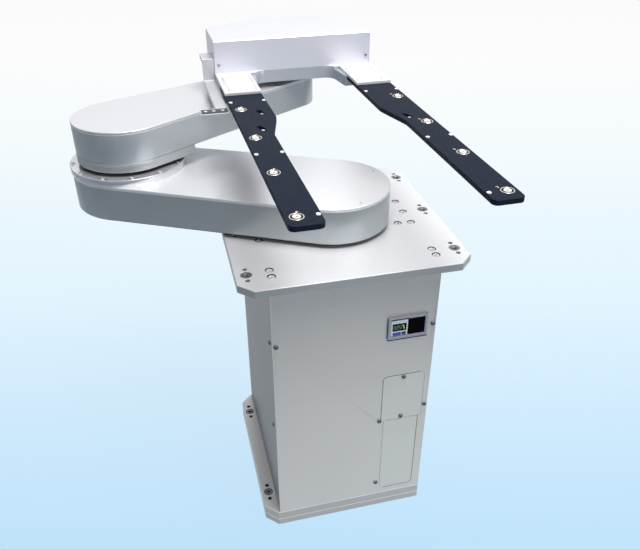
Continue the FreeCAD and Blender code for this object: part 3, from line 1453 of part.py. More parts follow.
place(hand_base, wrist_x, wrist_y, hand_low, d.swivel_angle)

housing = make_body("hand_housing")
housing_sketch = make_sketch(housing)
polygon(housing_sketch, hand_rear + [
    (-d.hand_half, -d.hand_front), (d.hand_half, -d.hand_front)
])
pad(housing, housing_sketch, d.housing_height)
dress(housing, "Fillet", hand_corners, d.hand_corner)
dress(housing, "Fillet", hand_bends, d.hand_bend)
dress(housing, "Fillet", [
    (side * d.hand_half, -d.hand_front) for side in (-1, 1)
], d.housing_front_corner)
bevel_rim(housing, d.housing_height, d.housing_front_corner)
inside = make_sketch(housing, level=0)
inner_wall = d.housing_wall
polygon(inside, [
    (d.hand_half - inner_wall, d.hand_side_back - inner_wall),
    (d.hand_back_flat - inner_wall, d.hand_back - inner_wall * 2),
    (-d.hand_back_flat + inner_wall, d.hand_back - inner_wall * 2),
    (-d.hand_half + inner_wall, d.hand_side_back - inner_wall),
    (-d.hand_half + inner_wall, -d.hand_front + inner_wall),
    (d.hand_half - inner_wall, -d.hand_front + inner_wall),
])
pocket(housing, inside, d.housing_height - inner_wall, upward=True)
front_holes = [
    (side * d.front_screw_x, d.front_screw_rise) for side in (-1, 1)
]
front_sketch = make_sketch(housing, "XZ_Plane", d.hand_front)
for spot in front_holes:
    circle(front_sketch, spot, d.flush_screw_shank)
pocket(housing, front_sketch, inner_wall)
place(housing, wrist_x, wrist_y, base_top, d.swivel_angle)

# ---------------------------------------------------------------- fork
clamps = []
for side in (-1, 1):
    left = -d.hand_half if side < 0 else d.finger_root
    clamps.append(box_at(
        left, -d.clamp_front, base_top - d.clamp_thick,
        d.hand_half - d.finger_root, d.clamp_front - d.clamp_back, d.clamp_thick,
    ))
hand_turn = Placement(
    Vector(wrist_x.value, wrist_y.value, 0),
    Rotation(Vector(0, 0, 1), d.swivel_angle.value),
)


def on_hand(shapes):
    """Bare shapes modelled square to the wrist, carried to their place on the hand."""
    for shape in shapes:
        shape.Placement = hand_turn.multiply(shape.Placement)
    return shapes


clamp_spots = [
    (side * across, -along)
    for side in (-1, 1)
    for across, along in (
        (d.clamp_screw_inner, d.clamp_screw_back), (d.clamp_screw_outer, d.clamp_screw_back),
        (d.clamp_screw_inner, d.clamp_screw_front), (d.clamp_screw_outer, d.clamp_screw_front),
    )
]
seat_spots = [
    (side * across, -d.hand_front - d.seat_screw_gap)
    for side in (-1, 1) for across in (d.clamp_screw_inner, d.clamp_screw_outer)
]
small_screw = cap_screw(
    d.small_screw_head, d.small_screw_rise, d.small_screw_shank,
    d.clamp_thick - d.thread_runout,
)
screw_holes = [
    Part.makeCylinder(
        d.small_screw_shank.value / 2, d.clamp_thick.value,
        Vector(across.value, along.value, (base_top - d.clamp_thick).value),
    )
    for across, along in clamp_spots
]
group("finger_clamps", on_hand([plate.cut(screw_holes) for plate in clamps]))
drill(
    hand_base, d.hand_base_thick, seat_spots, d.small_screw_shank, d.clamp_thick
)

pad_spots = [
    (d.pad_line, d.pad_first + d.pad_pitch * number) for number in range(int(d.pad_count.value))
]
stud_spots = [
    (d.stud_outer, d.stud_back), (d.stud_inner, d.stud_back),
    (d.stud_outer, d.stud_middle), (d.stud_slim, d.stud_middle),
    (d.stud_slim, d.stud_front),
]
slot_spots = {
    "left_finger": [(d.slot_first_across, d.slot_first), (d.slot_second_across, d.slot_second)],
    "right_finger": [(d.slot_third_across, d.slot_third)],
}


def slot_outline(sketch, middle, lean):
    """A round-ended slot along a line that leans from the finger's length."""
    half = (d.slot_length - d.slot_width).value / 2
    radius = d.slot_width.value / 2
    way = Vector(math.sin(lean), -math.cos(lean), 0)
    side = Vector(way.y, -way.x, 0)
    centre = Vector(size(middle[0]).value, size(middle[1]).value, 0)
    ends = [centre - way * half, centre + way * half]
    up = Vector(0, 0, 1)
    heading = math.atan2(way.y, way.x)
    far = Part.ArcOfCircle(
        Part.Circle(ends[1], up, radius), heading - math.pi / 2, heading + math.pi / 2
    )
    near = Part.ArcOfCircle(
        Part.Circle(ends[0], up, radius), heading + math.pi / 2, heading + math.pi * 3 / 2
    )
    parts = [
        far, Part.LineSegment(far.EndPoint, near.StartPoint),
        near, Part.LineSegment(near.EndPoint, far.StartPoint),
    ]
    arc, first, other, last = [sketch.addGeometry(part) for part in parts]
    for here, there in ((arc, first), (first, other), (other, last), (last, arc)):
        sketch.addConstraint(Sketcher.Constraint("Tangent", here, 2, there, 1))
    number = sketch.addConstraint(Sketcher.Constraint("Radius", arc, radius))
    sketch.setExpression(f"Constraints[{number}]", (d.slot_width / 2).text)
    fix_point(sketch, arc, 3, (size(ends[1].x), size(ends[1].y)))
    fix_point(sketch, other, 3, (size(ends[0].x), size(ends[0].y)))


for label, side in (("left_finger", -1), ("right_finger", 1)):
    finger = make_body(label)
    finger_sketch = make_sketch(finger)
    tongue_inner, tongue_outer = tongue_middle - tongue_half, tongue_middle + tongue_half
    outline = [
        (d.hand_half, d.arm_reach), (d.hand_half, d.finger_tip), (d.finger_slim, d.finger_tip),
        (d.finger_slim, d.finger_slim_start), (d.finger_root, d.finger_step),
        (d.finger_root, d.arm_reach), (tongue_inner, d.arm_reach), (tongue_inner, tongue_back),
        (tongue_outer, tongue_back), (tongue_outer, d.arm_reach),
    ]
    polygon(finger_sketch, [(side * across, -along) for across, along in outline])
    pad(finger, finger_sketch, d.finger_thick)
    dress(finger, "Fillet", [
        (side * d.hand_half, -d.finger_tip), (side * d.finger_slim, -d.finger_tip)
    ], d.finger_corner)
    dress(finger, "Fillet", [
        (side * d.finger_slim, -d.finger_slim_start), (side * d.finger_root, -d.finger_step)
    ], d.finger_bend)
    bevel_rim(finger, d.finger_thick, d.finger_edge)
    bevel_rim(finger, 0, d.finger_edge)
    spots = [(side * across, -along) for across, along in pad_spots]
    drill(finger, d.finger_thick, spots, d.pad_ring, d.pad_recess)
    spots = [(side * across, -along) for across, along in stud_spots]
    drill(finger, d.finger_thick, spots, d.stud_diameter, d.stud_sink)
    slots = make_sketch(finger, level=d.finger_thick)
    for across, along in slot_spots[label]:
        slot_outline(slots, (side * across, -along), math.radians(d.slot_lean.value))
    pocket(finger, slots, d.slot_depth)
    place(finger, wrist_x, wrist_y, finger_low, d.swivel_angle)

finger_top = finger_low + d.finger_thick
recess_floor = (finger_top - d.pad_recess).value
ring_rise = (d.pad_recess + d.pad_ring_rise).value
disc_rise = (d.pad_recess + d.pad_rise).value
both_sides = [
    (side * across.value, -along.value) for side in (-1, 1) for across, along in pad_spots
]
pad_ring = Part.makeCylinder(d.pad_ring.value / 2, ring_rise).cut(
    Part.makeCylinder(d.pad_ring.value / 2 - d.pad_ring_width.value, ring_rise)
)
group("pad_rings", on_hand(copies(pad_ring, [(x, y, recess_floor) for x, y in both_sides])))
pad_disc = Part.makeCylinder(d.pad_disc.value / 2, disc_rise).cut(
    Part.makeCylinder(d.pad_port.value / 2, disc_rise)
)
group("vacuum_pads", on_hand(copies(pad_disc, [(x, y, recess_floor) for x, y in both_sides])))
stud = Part.makeCylinder(d.stud_diameter.value / 2, (d.stud_sink + d.stud_rise).value)
group("rest_studs", on_hand(copies(stud, [
    (side * across.value, -along.value, finger_top - d.stud_sink)
    for side in (-1, 1) for across, along in stud_spots
])))

slot_screws = [
    (
        side * across + d.slot_screw_reach.value * math.sin(math.radians(d.slot_lean.value)),
        -along - d.slot_screw_reach.value * math.cos(math.radians(d.slot_lean.value)),
    )
    for label, side in (("left_finger", -1), ("right_finger", 1))
    for across, along in slot_spots[label]
]
front_screw = cap_screw(
    d.flush_screw_head, d.flush_screw_rise, d.flush_screw_shank, inner_wall
)
slot_screw = Part.makeCylinder(d.slot_screw_head.value / 2, d.slot_screw_rise.value)
group("hand_screws", on_hand(
    copies(small_screw, [(x, y, base_top) for x, y in clamp_spots + seat_spots])
    + copies(
        front_screw, [(x, -d.hand_front, base_top + level) for x, level in front_holes], front
    )
    + copies(slot_screw, [(x, y, finger_top - d.slot_depth) for x, y in slot_screws])
))

# ---------------------------------------------------------------- side bracket
bar_top = d.hand_base_thick - d.bracket_top
bar_low = bar_top - d.bracket_thick
bar_left = -d.hand_half - d.bracket_width
foot_left = -d.hand_half - d.foot_gap - d.foot_width
foot_back = d.bracket_front - d.foot_depth
foot_middle = (foot_left + d.foot_width / 2, -foot_back - d.foot_depth / 2)

bracket = make_body("side_bracket")
bar_sketch = make_sketch(bracket, level=bar_low)
polygon(bar_sketch, [
    (bar_left, -d.bracket_back), (bar_left, -foot_back), (foot_left, -foot_back),
    (foot_left, -d.bracket_front), (foot_left + d.foot_width, -d.bracket_front),
    (foot_left + d.foot_width, -d.arm_reach - d.foot_gap),
    (-d.hand_half, -d.arm_reach - d.foot_gap), (-d.hand_half, -d.bracket_back),
])
pad(bracket, bar_sketch, d.bracket_thick)
riser = make_sketch(bracket, level=bar_low)
rectangle(riser, bar_left, -d.bracket_back - d.bracket_thick, d.bracket_width, d.bracket_thick)
pad(bracket, riser, d.bracket_riser + d.bracket_thick)
head = make_sketch(bracket, level=bar_top + d.bracket_riser - d.bracket_head)
rectangle(
    head, bar_left, -d.bracket_back - d.bracket_thick, d.bracket_width,
    d.bracket_head_depth + d.bracket_thick,
)
pad(bracket, head, d.bracket_head)
recess = make_sketch(bracket, level=bar_top)
rectangle(
    recess, foot_middle[0] - d.foot_slot_length / 2, foot_middle[1] - d.foot_slot_width / 2,
    d.foot_slot_length, d.foot_slot_width,
)
pocket(bracket, recess, d.foot_slot_depth)
place(bracket, wrist_x, wrist_y, hand_low, d.swivel_angle)

insert = make_body("foot_insert")
insert_sketch = make_sketch(insert)
rectangle(
    insert_sketch, foot_middle[0] - d.foot_slot_length / 2,
    foot_middle[1] - d.foot_slot_width / 2, d.foot_slot_length, d.foot_slot_width,
)
pad(insert, insert_sketch, d.insert_thick)
place(insert, wrist_x, wrist_y, hand_low + bar_top - d.foot_slot_depth, d.swivel_angle)

# ---------------------------------------------------------------- checks and files
doc.recompute()
for item in doc.Objects:
    if {"Invalid", "Error"} & set(item.State):
        raise RuntimeError(f"{item.Label} did not build")
pieces = [
    item for item in doc.Objects
    if item.TypeId == "PartDesign::Body" or item.TypeId == "Part::Feature"
]
for item in pieces:
    if item.Shape.isNull() or not item.Shape.isValid() or not item.Shape.Solids:
        raise RuntimeError(f"{item.Label} has no sound solid")
for item in pieces:
    item.Shape.exportStep(f"parts/{item.Label}.step")
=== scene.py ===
import json
import math

import bmesh
import bpy
from mathutils import Matrix, Vector


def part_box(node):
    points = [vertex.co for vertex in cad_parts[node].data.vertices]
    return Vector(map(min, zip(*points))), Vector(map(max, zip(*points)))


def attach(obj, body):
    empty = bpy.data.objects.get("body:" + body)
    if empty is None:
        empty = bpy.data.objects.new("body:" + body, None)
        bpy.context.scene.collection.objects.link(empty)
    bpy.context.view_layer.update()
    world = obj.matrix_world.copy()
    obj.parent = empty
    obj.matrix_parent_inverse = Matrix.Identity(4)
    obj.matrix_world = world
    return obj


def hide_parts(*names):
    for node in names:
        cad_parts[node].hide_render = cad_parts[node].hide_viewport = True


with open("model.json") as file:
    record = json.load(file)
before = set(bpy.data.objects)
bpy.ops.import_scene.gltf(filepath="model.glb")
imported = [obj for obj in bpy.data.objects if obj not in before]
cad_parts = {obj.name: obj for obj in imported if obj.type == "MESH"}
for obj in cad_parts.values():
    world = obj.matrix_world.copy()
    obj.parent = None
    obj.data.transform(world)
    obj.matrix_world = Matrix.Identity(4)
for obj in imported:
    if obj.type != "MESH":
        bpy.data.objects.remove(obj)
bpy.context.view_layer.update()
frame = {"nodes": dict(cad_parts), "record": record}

# ---------------------------------------------------------------- camera, lamps and floor
# The robot stands on a smooth studio floor, white far behind it and light blue in front,
# under a broad soft lamp behind and above it, one overhead and one low in front.
camera_data = bpy.data.cameras.new("camera")
camera_data.sensor_width = 36
camera_data.lens = 38.35
camera = bpy.data.objects.new("camera", camera_data)
camera.location = (-0.2944, -1.0927, 1.2009)
looking = Vector((0.20523, 0.81814, -0.53715))
camera.rotation_euler = looking.to_track_quat("-Z", "Y").to_euler()
bpy.context.collection.objects.link(camera)
bpy.context.scene.camera = camera
bpy.context.scene.view_settings.view_transform = "Standard"


def soft_lamp(name, place, aim, width, height, power, colour=(1, 1, 1)):
    """A broad rectangular lamp that faces a point."""
    data = bpy.data.lights.new(name, "AREA")
    data.shape = "RECTANGLE"
    data.size = width
    data.size_y = height
    data.energy = power
    data.color = colour
    lamp = bpy.data.objects.new(name, data)
    lamp.location = place
    lamp.rotation_euler = (Vector(aim) - Vector(place)).to_track_quat("-Z", "Y").to_euler()
    bpy.context.collection.objects.link(lamp)


arm_level = (0, 0, 0.7)
soft_lamp("rear_lamp", (0.7, 3.2, 2.7), arm_level, 4.4, 2.6, 26)
soft_lamp("overhead_lamp", (0.4, -0.6, 3.4), arm_level, 1.8, 1.8, 96)
soft_lamp("front_lamp", (1.6, -2.6, 1.6), (0, 0, 0.4), 1.4, 1.4, 19, (0.97, 0.98, 1))

world = bpy.data.worlds.new("studio")
bpy.context.scene.world = world
world.use_nodes = True
sky = world.node_tree.nodes["Background"]
sky.inputs["Color"].default_value = (0.95, 0.97, 1, 1)


def new_material(name):
    """A material that holds one Principled BSDF, and that shader."""
    material = bpy.data.materials.new(name)
    material.use_nodes = True
    return material, material.node_tree, material.node_tree.nodes["Principled BSDF"]


def add_node(tree, kind, **sockets):
    """A node of a tree with some of its sockets set by name."""
    node = tree.nodes.new(kind)
    for label, value in sockets.items():
        node.inputs[label.replace("_", " ")].default_value = value
    return node


def blend_maths(tree, operation, first, second):
    """A Math node of two inputs, each a socket or a number."""
    node = tree.nodes.new("ShaderNodeMath")
    node.operation = operation
    for slot, value in zip(node.inputs, (first, second)):
        if isinstance(value, bpy.types.NodeSocket):
            tree.links.new(value, slot)
        else:
            slot.default_value = value
    return node.outputs[0]


def ramp(tree, source, stops):
    """A colour ramp through (place, colour) stops, fed from a socket."""
    node = tree.nodes.new("ShaderNodeValToRGB")
    band = node.color_ramp
    while len(band.elements) < len(stops):
        band.elements.new(0.5)
    for element, (spot, colour) in zip(band.elements, stops):
        element.position = spot
        element.color = (*colour, 1)
    tree.links.new(source, node.inputs["Fac"])
    return node.outputs["Color"]


def seen_share(tree, path, mirror_share):
    """1 for rays from the lens or through glass, less for those from a mirror, 0 for the rest."""
    glossy = blend_maths(tree, "MULTIPLY", path.outputs["Is Glossy Ray"], mirror_share)
    seen = blend_maths(tree, "MAXIMUM", path.outputs["Is Camera Ray"], glossy)
    return blend_maths(tree, "MAXIMUM", seen, path.outputs["Is Transmission Ray"])


# The room is dim and even, but shows as pale as the floor does far behind.
room_light, room_shown, room_mirrored = 0.17, 0.81, 0.3
room = world.node_tree
room_path = room.nodes.new("ShaderNodeLightPath")
seen = seen_share(room, room_path, room_mirrored)
strength = blend_maths(room, "ADD", blend_maths(room, "MULTIPLY", seen, room_shown), room_light)
room.links.new(strength, sky.inputs["Strength"])

floor_reach = 14
floor_mesh = bmesh.new()
bmesh.ops.create_grid(floor_mesh, x_segments=1, y_segments=1, size=floor_reach)
floor_data = bpy.data.meshes.new("floor")
floor_mesh.to_mesh(floor_data)
floor_mesh.free()
floor = bpy.data.objects.new("floor", floor_data)
bpy.context.collection.objects.link(floor)
floor_finish, tree, shader = new_material("studio_floor")
spot = tree.nodes.new("ShaderNodeTexCoord")


def floor_distance(direction):
    """How far a point of the floor lies from the robot along a level direction."""
    along = tree.nodes.new("ShaderNodeVectorMath")
    along.operation = "DOT_PRODUCT"
    along.inputs[1].default_value = direction
    tree.links.new(spot.outputs["Object"], along.inputs[0])
    return along.outputs["Value"]


# Away from the lens, and square to that.
back = floor_distance((0.243, 0.970, 0))
aside = floor_distance((0.970, -0.243, 0))
depth = add_node(tree, "ShaderNodeMapRange", From_Min=-1.5, From_Max=4.5)
tree.links.new(back, depth.inputs["Value"])
paper = ramp(tree, depth.outputs["Result"], [
    (0.000, (0.66, 0.78, 0.88)),
    (0.206, (0.53, 0.77, 0.96)),
    (0.276, (0.65, 0.84, 0.99)),
    (0.352, (0.77, 0.91, 1.0)),
    (0.554, (0.92, 0.98, 1.0)),
    (0.800, (1.0, 1.0, 1.0)),
])
tree.links.new(paper, shader.inputs["Base Color"])
shader.inputs["Roughness"].default_value = 0.8
shader.inputs["Specular IOR Level"].default_value = 0.1
# In the metal the floor shows less blue, and painted shade makes it dimmer in front and aside,
# where no lamp reaches.
plain = tree.nodes.new("ShaderNodeRGBToBW")
tree.links.new(paper, plain.inputs[0])
muted = add_node(tree, "ShaderNodeMix", Factor=0.9)
muted.data_type = "RGBA"
tree.links.new(paper, muted.inputs["A"])
tree.links.new(plain.outputs[0], muted.inputs["B"])
shade_ahead = ramp(tree, depth.outputs["Result"], [
    (0.040, (0.15, 0.175, 0.22)),
    (0.085, (0.32, 0.35, 0.41)),
    (0.140, (0.92, 0.92, 0.92)),
    (0.200, (1.0, 1.0, 1.0)),
])
# In the metal the floor keeps its brightness in a wedge that opens backwards from its tip in front;
# outside the wedge lies painted shade.
wedge_tip = 1.9
offset = blend_maths(tree, "ABSOLUTE", aside, 0)
width = blend_maths(tree, "ADD", back, wedge_tip)
beside = add_node(tree, "ShaderNodeMapRange", From_Min=0.43, From_Max=0.65)
tree.links.new(blend_maths(tree, "DIVIDE", offset, width), beside.inputs["Value"])
shade_aside = ramp(tree, beside.outputs["Result"], [(0.0, (1, 1, 1)), (1.0, (0.36, 0.38, 0.40))])
shaded_mirror_colour = muted.outputs["Result"]
# Painted shade: both ramps darken the floor where metal mirrors it.
for shade in (shade_ahead, shade_aside):
    dimmer = tree.nodes.new("ShaderNodeVectorMath")
    dimmer.operation = "MULTIPLY"
    tree.links.new(shaded_mirror_colour, dimmer.inputs[0])
    tree.links.new(shade, dimmer.inputs[1])
    shaded_mirror_colour = dimmer.outputs[0]
path = tree.nodes.new("ShaderNodeLightPath")
seen = seen_share(tree, path, 1.0)
shown = tree.nodes.new("ShaderNodeMix")
shown.data_type = "RGBA"
tree.links.new(path.outputs["Is Glossy Ray"], shown.inputs["Factor"])
tree.links.new(paper, shown.inputs["A"])
tree.links.new(shaded_mirror_colour, shown.inputs["B"])
glow = tree.nodes.new("ShaderNodeEmission")
tree.links.new(shown.outputs["Result"], glow.inputs["Color"])
# A small part of the plain paper stays under the glow, and so does the robot's shadow.
glow_share = 0.95
mixed = tree.nodes.new("ShaderNodeMixShader")
tree.links.new(blend_maths(tree, "MULTIPLY", seen, glow_share), mixed.inputs["Fac"])
tree.links.new(shader.outputs["BSDF"], mixed.inputs[1])
tree.links.new(glow.outputs["Emission"], mixed.inputs[2])
tree.links.new(mixed.outputs["Shader"], tree.nodes["Material Output"].inputs["Surface"])
floor_data.materials.append(floor_finish)


# ---------------------------------------------------------------- base plates
# Two stacked floor plates of milled aluminium, bolted together, with a bevelled ear on the
# left that takes the floor bolts. Milled faces with a fine straight grain, painted highlights on
# their upper edges and painted shade on their sides.
def shared_group(name, given_sockets, result_sockets):
    """A shader node group with its sockets, and the nodes that they stand on inside it."""
    group = bpy.data.node_groups.new(name, "ShaderNodeTree")
    for side, sockets in (("INPUT", given_sockets), ("OUTPUT", result_sockets)):
        for label, kind in sockets.items():
            group.interface.new_socket(name=label, in_out=side, socket_type="NodeSocket" + kind)
    given = group.nodes.new("NodeGroupInput")
    result = group.nodes.new("NodeGroupOutput")
    return group, given, result


def placed_group(tree, group, **sockets):
    """A group's node in a material's tree, with some of its sockets set by name."""
    node = tree.nodes.new("ShaderNodeGroup")
    node.node_tree = group
    for label, value in sockets.items():
        node.inputs[label].default_value = value
    return node


def grain_group():
    """Fine straight tool marks: a tint and a roughness that change across the grain."""
    group, given, result = shared_group(
        "fine_grain",
        {"Colour": "Color", "Stretch": "Vector", "Contrast": "Float", "Smooth": "Float",
         "Rough": "Float", "Depth": "Float"},
        {"Colour": "Color", "Roughness": "Float", "Normal": "Vector"},
    )
    spot = group.nodes.new("ShaderNodeTexCoord")
    scaled = group.nodes.new("ShaderNodeVectorMath")
    scaled.operation = "MULTIPLY"
    group.links.new(spot.outputs["Object"], scaled.inputs[0])
    group.links.new(given.outputs["Stretch"], scaled.inputs[1])
    lines = add_node(group, "ShaderNodeTexNoise", Scale=1.0, Detail=5.0, Roughness=0.65)
    group.links.new(scaled.outputs[0], lines.inputs["Vector"])
    cloud = add_node(group, "ShaderNodeTexNoise", Scale=7.0, Detail=2.0)
    group.links.new(spot.outputs["Object"], cloud.inputs["Vector"])
    both = blend_maths(group, "ADD", lines.outputs["Fac"], cloud.outputs["Fac"])
    change = blend_maths(group, "MULTIPLY", blend_maths(group, "SUBTRACT", both, 1.0),
                         given.outputs["Contrast"])
    tint = group.nodes.new("ShaderNodeVectorMath")
    tint.operation = "SCALE"
    group.links.new(given.outputs["Colour"], tint.inputs[0])
    group.links.new(blend_maths(group, "ADD", change, 1.0), tint.inputs["Scale"])
    group.links.new(tint.outputs[0], result.inputs["Colour"])
    gloss = add_node(group, "ShaderNodeMapRange", From_Min=0.3, From_Max=0.7)
    group.links.new(lines.outputs["Fac"], gloss.inputs["Value"])
    group.links.new(given.outputs["Smooth"], gloss.inputs["To Min"])
    group.links.new(given.outputs["Rough"], gloss.inputs["To Max"])
    group.links.new(gloss.outputs["Result"], result.inputs["Roughness"])
    bump = add_node(group, "ShaderNodeBump", Distance=0.0001)
    group.links.new(given.outputs["Depth"], bump.inputs["Strength"])
    group.links.new(lines.outputs["Fac"], bump.inputs["Height"])
    group.links.new(bump.outputs["Normal"], result.inputs["Normal"])
    return group


def band_group():
    """A colour multiplied by a tint between two levels, and left alone above and below."""
    group, given, result = shared_group(
        "level_band",
        {"Colour": "Color", "Tint": "Color", "Foot": "Float", "Top": "Float"},
        {"Colour": "Color"},
    )
    spot = group.nodes.new("ShaderNodeTexCoord")
    height = group.nodes.new("ShaderNodeSeparateXYZ")
    group.links.new(spot.outputs["Object"], height.inputs[0])
    over = blend_maths(group, "GREATER_THAN", height.outputs["Z"], given.outputs["Foot"])
    under = blend_maths(group, "LESS_THAN", height.outputs["Z"], given.outputs["Top"])
    layer = group.nodes.new("ShaderNodeMix")
    layer.data_type = "RGBA"
    layer.blend_type = "MULTIPLY"
    group.links.new(blend_maths(group, "MULTIPLY", over, under), layer.inputs["Factor"])
    group.links.new(given.outputs["Colour"], layer.inputs["A"])
    group.links.new(given.outputs["Tint"], layer.inputs["B"])
    group.links.new(layer.outputs["Result"], result.inputs["Colour"])
    return group


fine_grain = grain_group()
level_band = band_group()


def finish(name, colour, stretch, contrast=0.08, smooth=0.34, rough=0.44, depth=0.2,
           metal=0.6, specular=0.5):
    """A surface whose fine grain runs where stretch is smallest."""
    material, tree, shader = new_material(name)
    grain = placed_group(tree, fine_grain, Colour=(*colour, 1), Stretch=stretch, Contrast=contrast,
                         Smooth=smooth, Rough=rough, Depth=depth)
    tree.links.new(grain.outputs["Colour"], shader.inputs["Base Color"])
    tree.links.new(grain.outputs["Roughness"], shader.inputs["Roughness"])
    tree.links.new(grain.outputs["Normal"], shader.inputs["Normal"])
    shader.inputs["Metallic"].default_value = metal
    shader.inputs["Specular IOR Level"].default_value = specular
    return material


# Corners of a mesh that are nearer than this are one.
touching = 0.000002


def dress(node, material, edge=0.0005, merge_flats=False):
    """Gives a node its material, and edges broken by a fine round; flats may be joined first."""
    piece = frame["nodes"][node]
    for slot in piece.material_slots:
        slot.material = material
    if edge:
        weld = piece.modifiers.new("weld", "WELD")
        weld.merge_threshold = touching
        if merge_flats:
            flats = piece.modifiers.new("flats", "DECIMATE")
            flats.decimate_type = "DISSOLVE"
            flats.angle_limit = math.radians(0.5)
        round_off = piece.modifiers.new("edge", "BEVEL")
        round_off.width = edge
        round_off.segments = 2
        round_off.limit_method = "ANGLE"
        round_off.angle_limit = math.radians(40)
        round_off.harden_normals = True


def levels(node):
    """The lowest and the highest level of a node."""
    low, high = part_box(node)
    return low[2], high[2]


def mark_levels(material, bands):
    """Tints a finish in level bands, each given by its foot, its top and what it multiplies by."""
    tree = material.node_tree
    colour = tree.nodes["Principled BSDF"].inputs["Base Color"]
    for foot, top, tint in bands:
        band = placed_group(tree, level_band, Tint=(*tint, 1), Foot=foot, Top=top)
        tree.links.new(colour.links[0].from_socket, band.inputs["Colour"])
        tree.links.new(band.outputs["Colour"], colour)


milled_along = finish("milled_plate", (0.80, 0.79, 0.79), (8, 900, 900), metal=0.45, specular=0.3)
# The upper edges of both plates carry painted highlights over sides in painted shade, with a dark
# band of painted shade at the joint.
joint, flange_top = levels("base_flange")
edge_highlight, side_shade, shadowed = (1.2, 1.19, 1.17), (0.70, 0.68, 0.65), (0.3, 0.3, 0.3)
highlight_wide, joint_half, lip = 0.0022, 0.0004, 0.0002
plate_highlight_foot = joint - joint_half - highlight_wide
flange_highlight_foot = flange_top - lip - highlight_wide
mark_levels(milled_along, [
    (lip, plate_highlight_foot, side_shade),
    (plate_highlight_foot, joint - joint_half, edge_highlight),
    (joint - joint_half, joint + joint_half, shadowed),
    (joint + joint_half, flange_highlight_foot, side_shade),
    (flange_highlight_foot, flange_top - lip, edge_highlight),
])
for plate in ("base_plate", "base_flange"):
    dress(plate, milled_along, 0.002, merge_flats=True)

# ---------------------------------------------------------------- column walls and covers
# Aluminium plate and sheet, finely brushed up and down and left clear; the thick side walls
# and the rear wall carry painted shade, darker than the bright front cover, which is screwed over
# their edges.
# The strip that backs the joints of its two access panels is near-black, as painted shade in the
# joints.
upright_grain = (700, 700, 6)
# The walls' dark colour is painted shade.
wall_plate_painted_shade = finish("wall_plate_painted_shade", (0.30, 0.31, 0.32), upright_grain, 0.06, smooth=0.38, rough=0.48,
                    metal=0.3, specular=0.15)
for wall in ("left_wall", "right_wall", "rear_wall"):
    dress(wall, wall_plate_painted_shade)
brushed_sheet = finish("brushed_sheet", (0.715, 0.70, 0.68), upright_grain, 0.06,
                       smooth=0.36, rough=0.46, metal=0.78)
dress("front_cover", brushed_sheet, 0.0003)
panel_sheet = finish("panel_sheet", (0.74, 0.73, 0.69), upright_grain, 0.06,
                     smooth=0.40, rough=0.48)
for panel in ("upper_access_panel", "lower_access_panel"):
    dress(panel, panel_sheet, 0.0004)
# Near-black, as painted shade in the panel joints.
joint_shade_black = finish("joint_shade_black", (0.05, 0.05, 0.055), upright_grain, 0.06, smooth=0.5, rough=0.6,
                   metal=0.2, specular=0.2)
dress("panel_backing", joint_shade_black)

# ---------------------------------------------------------------- cover screws
# Low round-headed hexagon-socket screws of blackened steel, which hold the front cover, its
# access panels and the side walls. Turned from bar, with the socket broached into the head.
def merged_copy(node):
    """A node's mesh as a bmesh of its own, with its loose triangles joined."""
    mesh = bmesh.new()
    mesh.from_mesh(frame["nodes"][node].data)
    bmesh.ops.remove_doubles(mesh, verts=mesh.verts, dist=touching)
    return mesh


def separate_parts(mesh):
    """The vertices of a bmesh, one list for each part that is joined by edges."""
    waiting = set(mesh.verts)
    parts = []
    while waiting:
        reached = [waiting.pop()]
        for vertex in reached:
            near = {edge.other_vert(vertex) for edge in vertex.link_edges} & waiting
            waiting -= near
            reached.extend(near)
        parts.append(reached)
    return parts


def solids(node):
    """The lowest and highest corner of each separate solid of a node."""
    mesh = merged_copy(node)
    corners = []
    for part in separate_parts(mesh):
        spread = list(zip(*(vertex.co for vertex in part)))
        corners.append((Vector(map(min, spread)), Vector(map(max, spread))))
    mesh.free()
    return sorted(corners, key=lambda pair: tuple(pair[0]))


def turned_mesh(outline, steps=24):
    """A line of (radius, height) points turned once about Z."""
    mesh = bmesh.new()
    points = [mesh.verts.new((radius, 0, height)) for radius, height in outline]
    edges = [mesh.edges.new(pair) for pair in zip(points, points[1:])]
    bmesh.ops.spin(mesh, geom=points + edges, cent=(0, 0, 0), axis=(0, 0, 1),
                   angle=math.tau, steps=steps, use_merge=True)
    bmesh.ops.remove_doubles(mesh, verts=mesh.verts, dist=touching / 2)
    return mesh


def socket_screw(head, rise, shank, length, crown):
    """A hexagon-socket screw that stands on the origin, its head crowned by a share of its rise."""
    radius = head / 2
    socket = head * 0.28
    mouth = socket * 1.2
    outline = [(mouth, rise)]
    for turn in (66, 44, 22, 0):
        outline.append((
            mouth + (radius - mouth) * math.cos(math.radians(turn)),
            rise * (1 - crown) + rise * crown * math.sin(math.radians(turn)),
        ))
    outline += [(radius, 0), (shank / 2, 0), (shank / 2, -length), (0, -length)]
    mesh = turned_mesh(outline)
    # The round mouth leads into six flats, and the socket's floor closes it.
    rim = [edge for edge in mesh.edges if edge.is_boundary]
    for drop in (rise * 0.06, rise * 0.55):
        grown = bmesh.ops.extrude_edge_only(mesh, edges=rim)["geom"]
        rim = [item for item in grown if isinstance(item, bmesh.types.BMEdge)]
        for vertex in (item for item in grown if isinstance(item, bmesh.types.BMVert)):
            turn = math.atan2(vertex.co.y, vertex.co.x) % (math.pi / 3) - math.pi / 6
            flat = socket * math.cos(math.pi / 6) / math.cos(turn)
            vertex.co.xy = vertex.co.xy.normalized() * flat
            vertex.co.z -= drop
    bmesh.ops.contextual_create(mesh, geom=rim)
    return mesh


def repeated(pattern, places, whole=None):
    """Copies of a bmesh at several places, added to a whole or a new one; frees the pattern."""
    data = bpy.data.meshes.new("pattern")
    pattern.to_mesh(data)
    pattern.free()
    if whole is None:
        whole = bmesh.new()
    for place in places:
        known = len(whole.verts)
        whole.from_mesh(data)
        whole.verts.ensure_lookup_table()
        bmesh.ops.transform(whole, matrix=place, verts=whole.verts[known:])
    bpy.data.meshes.remove(data)
    return whole


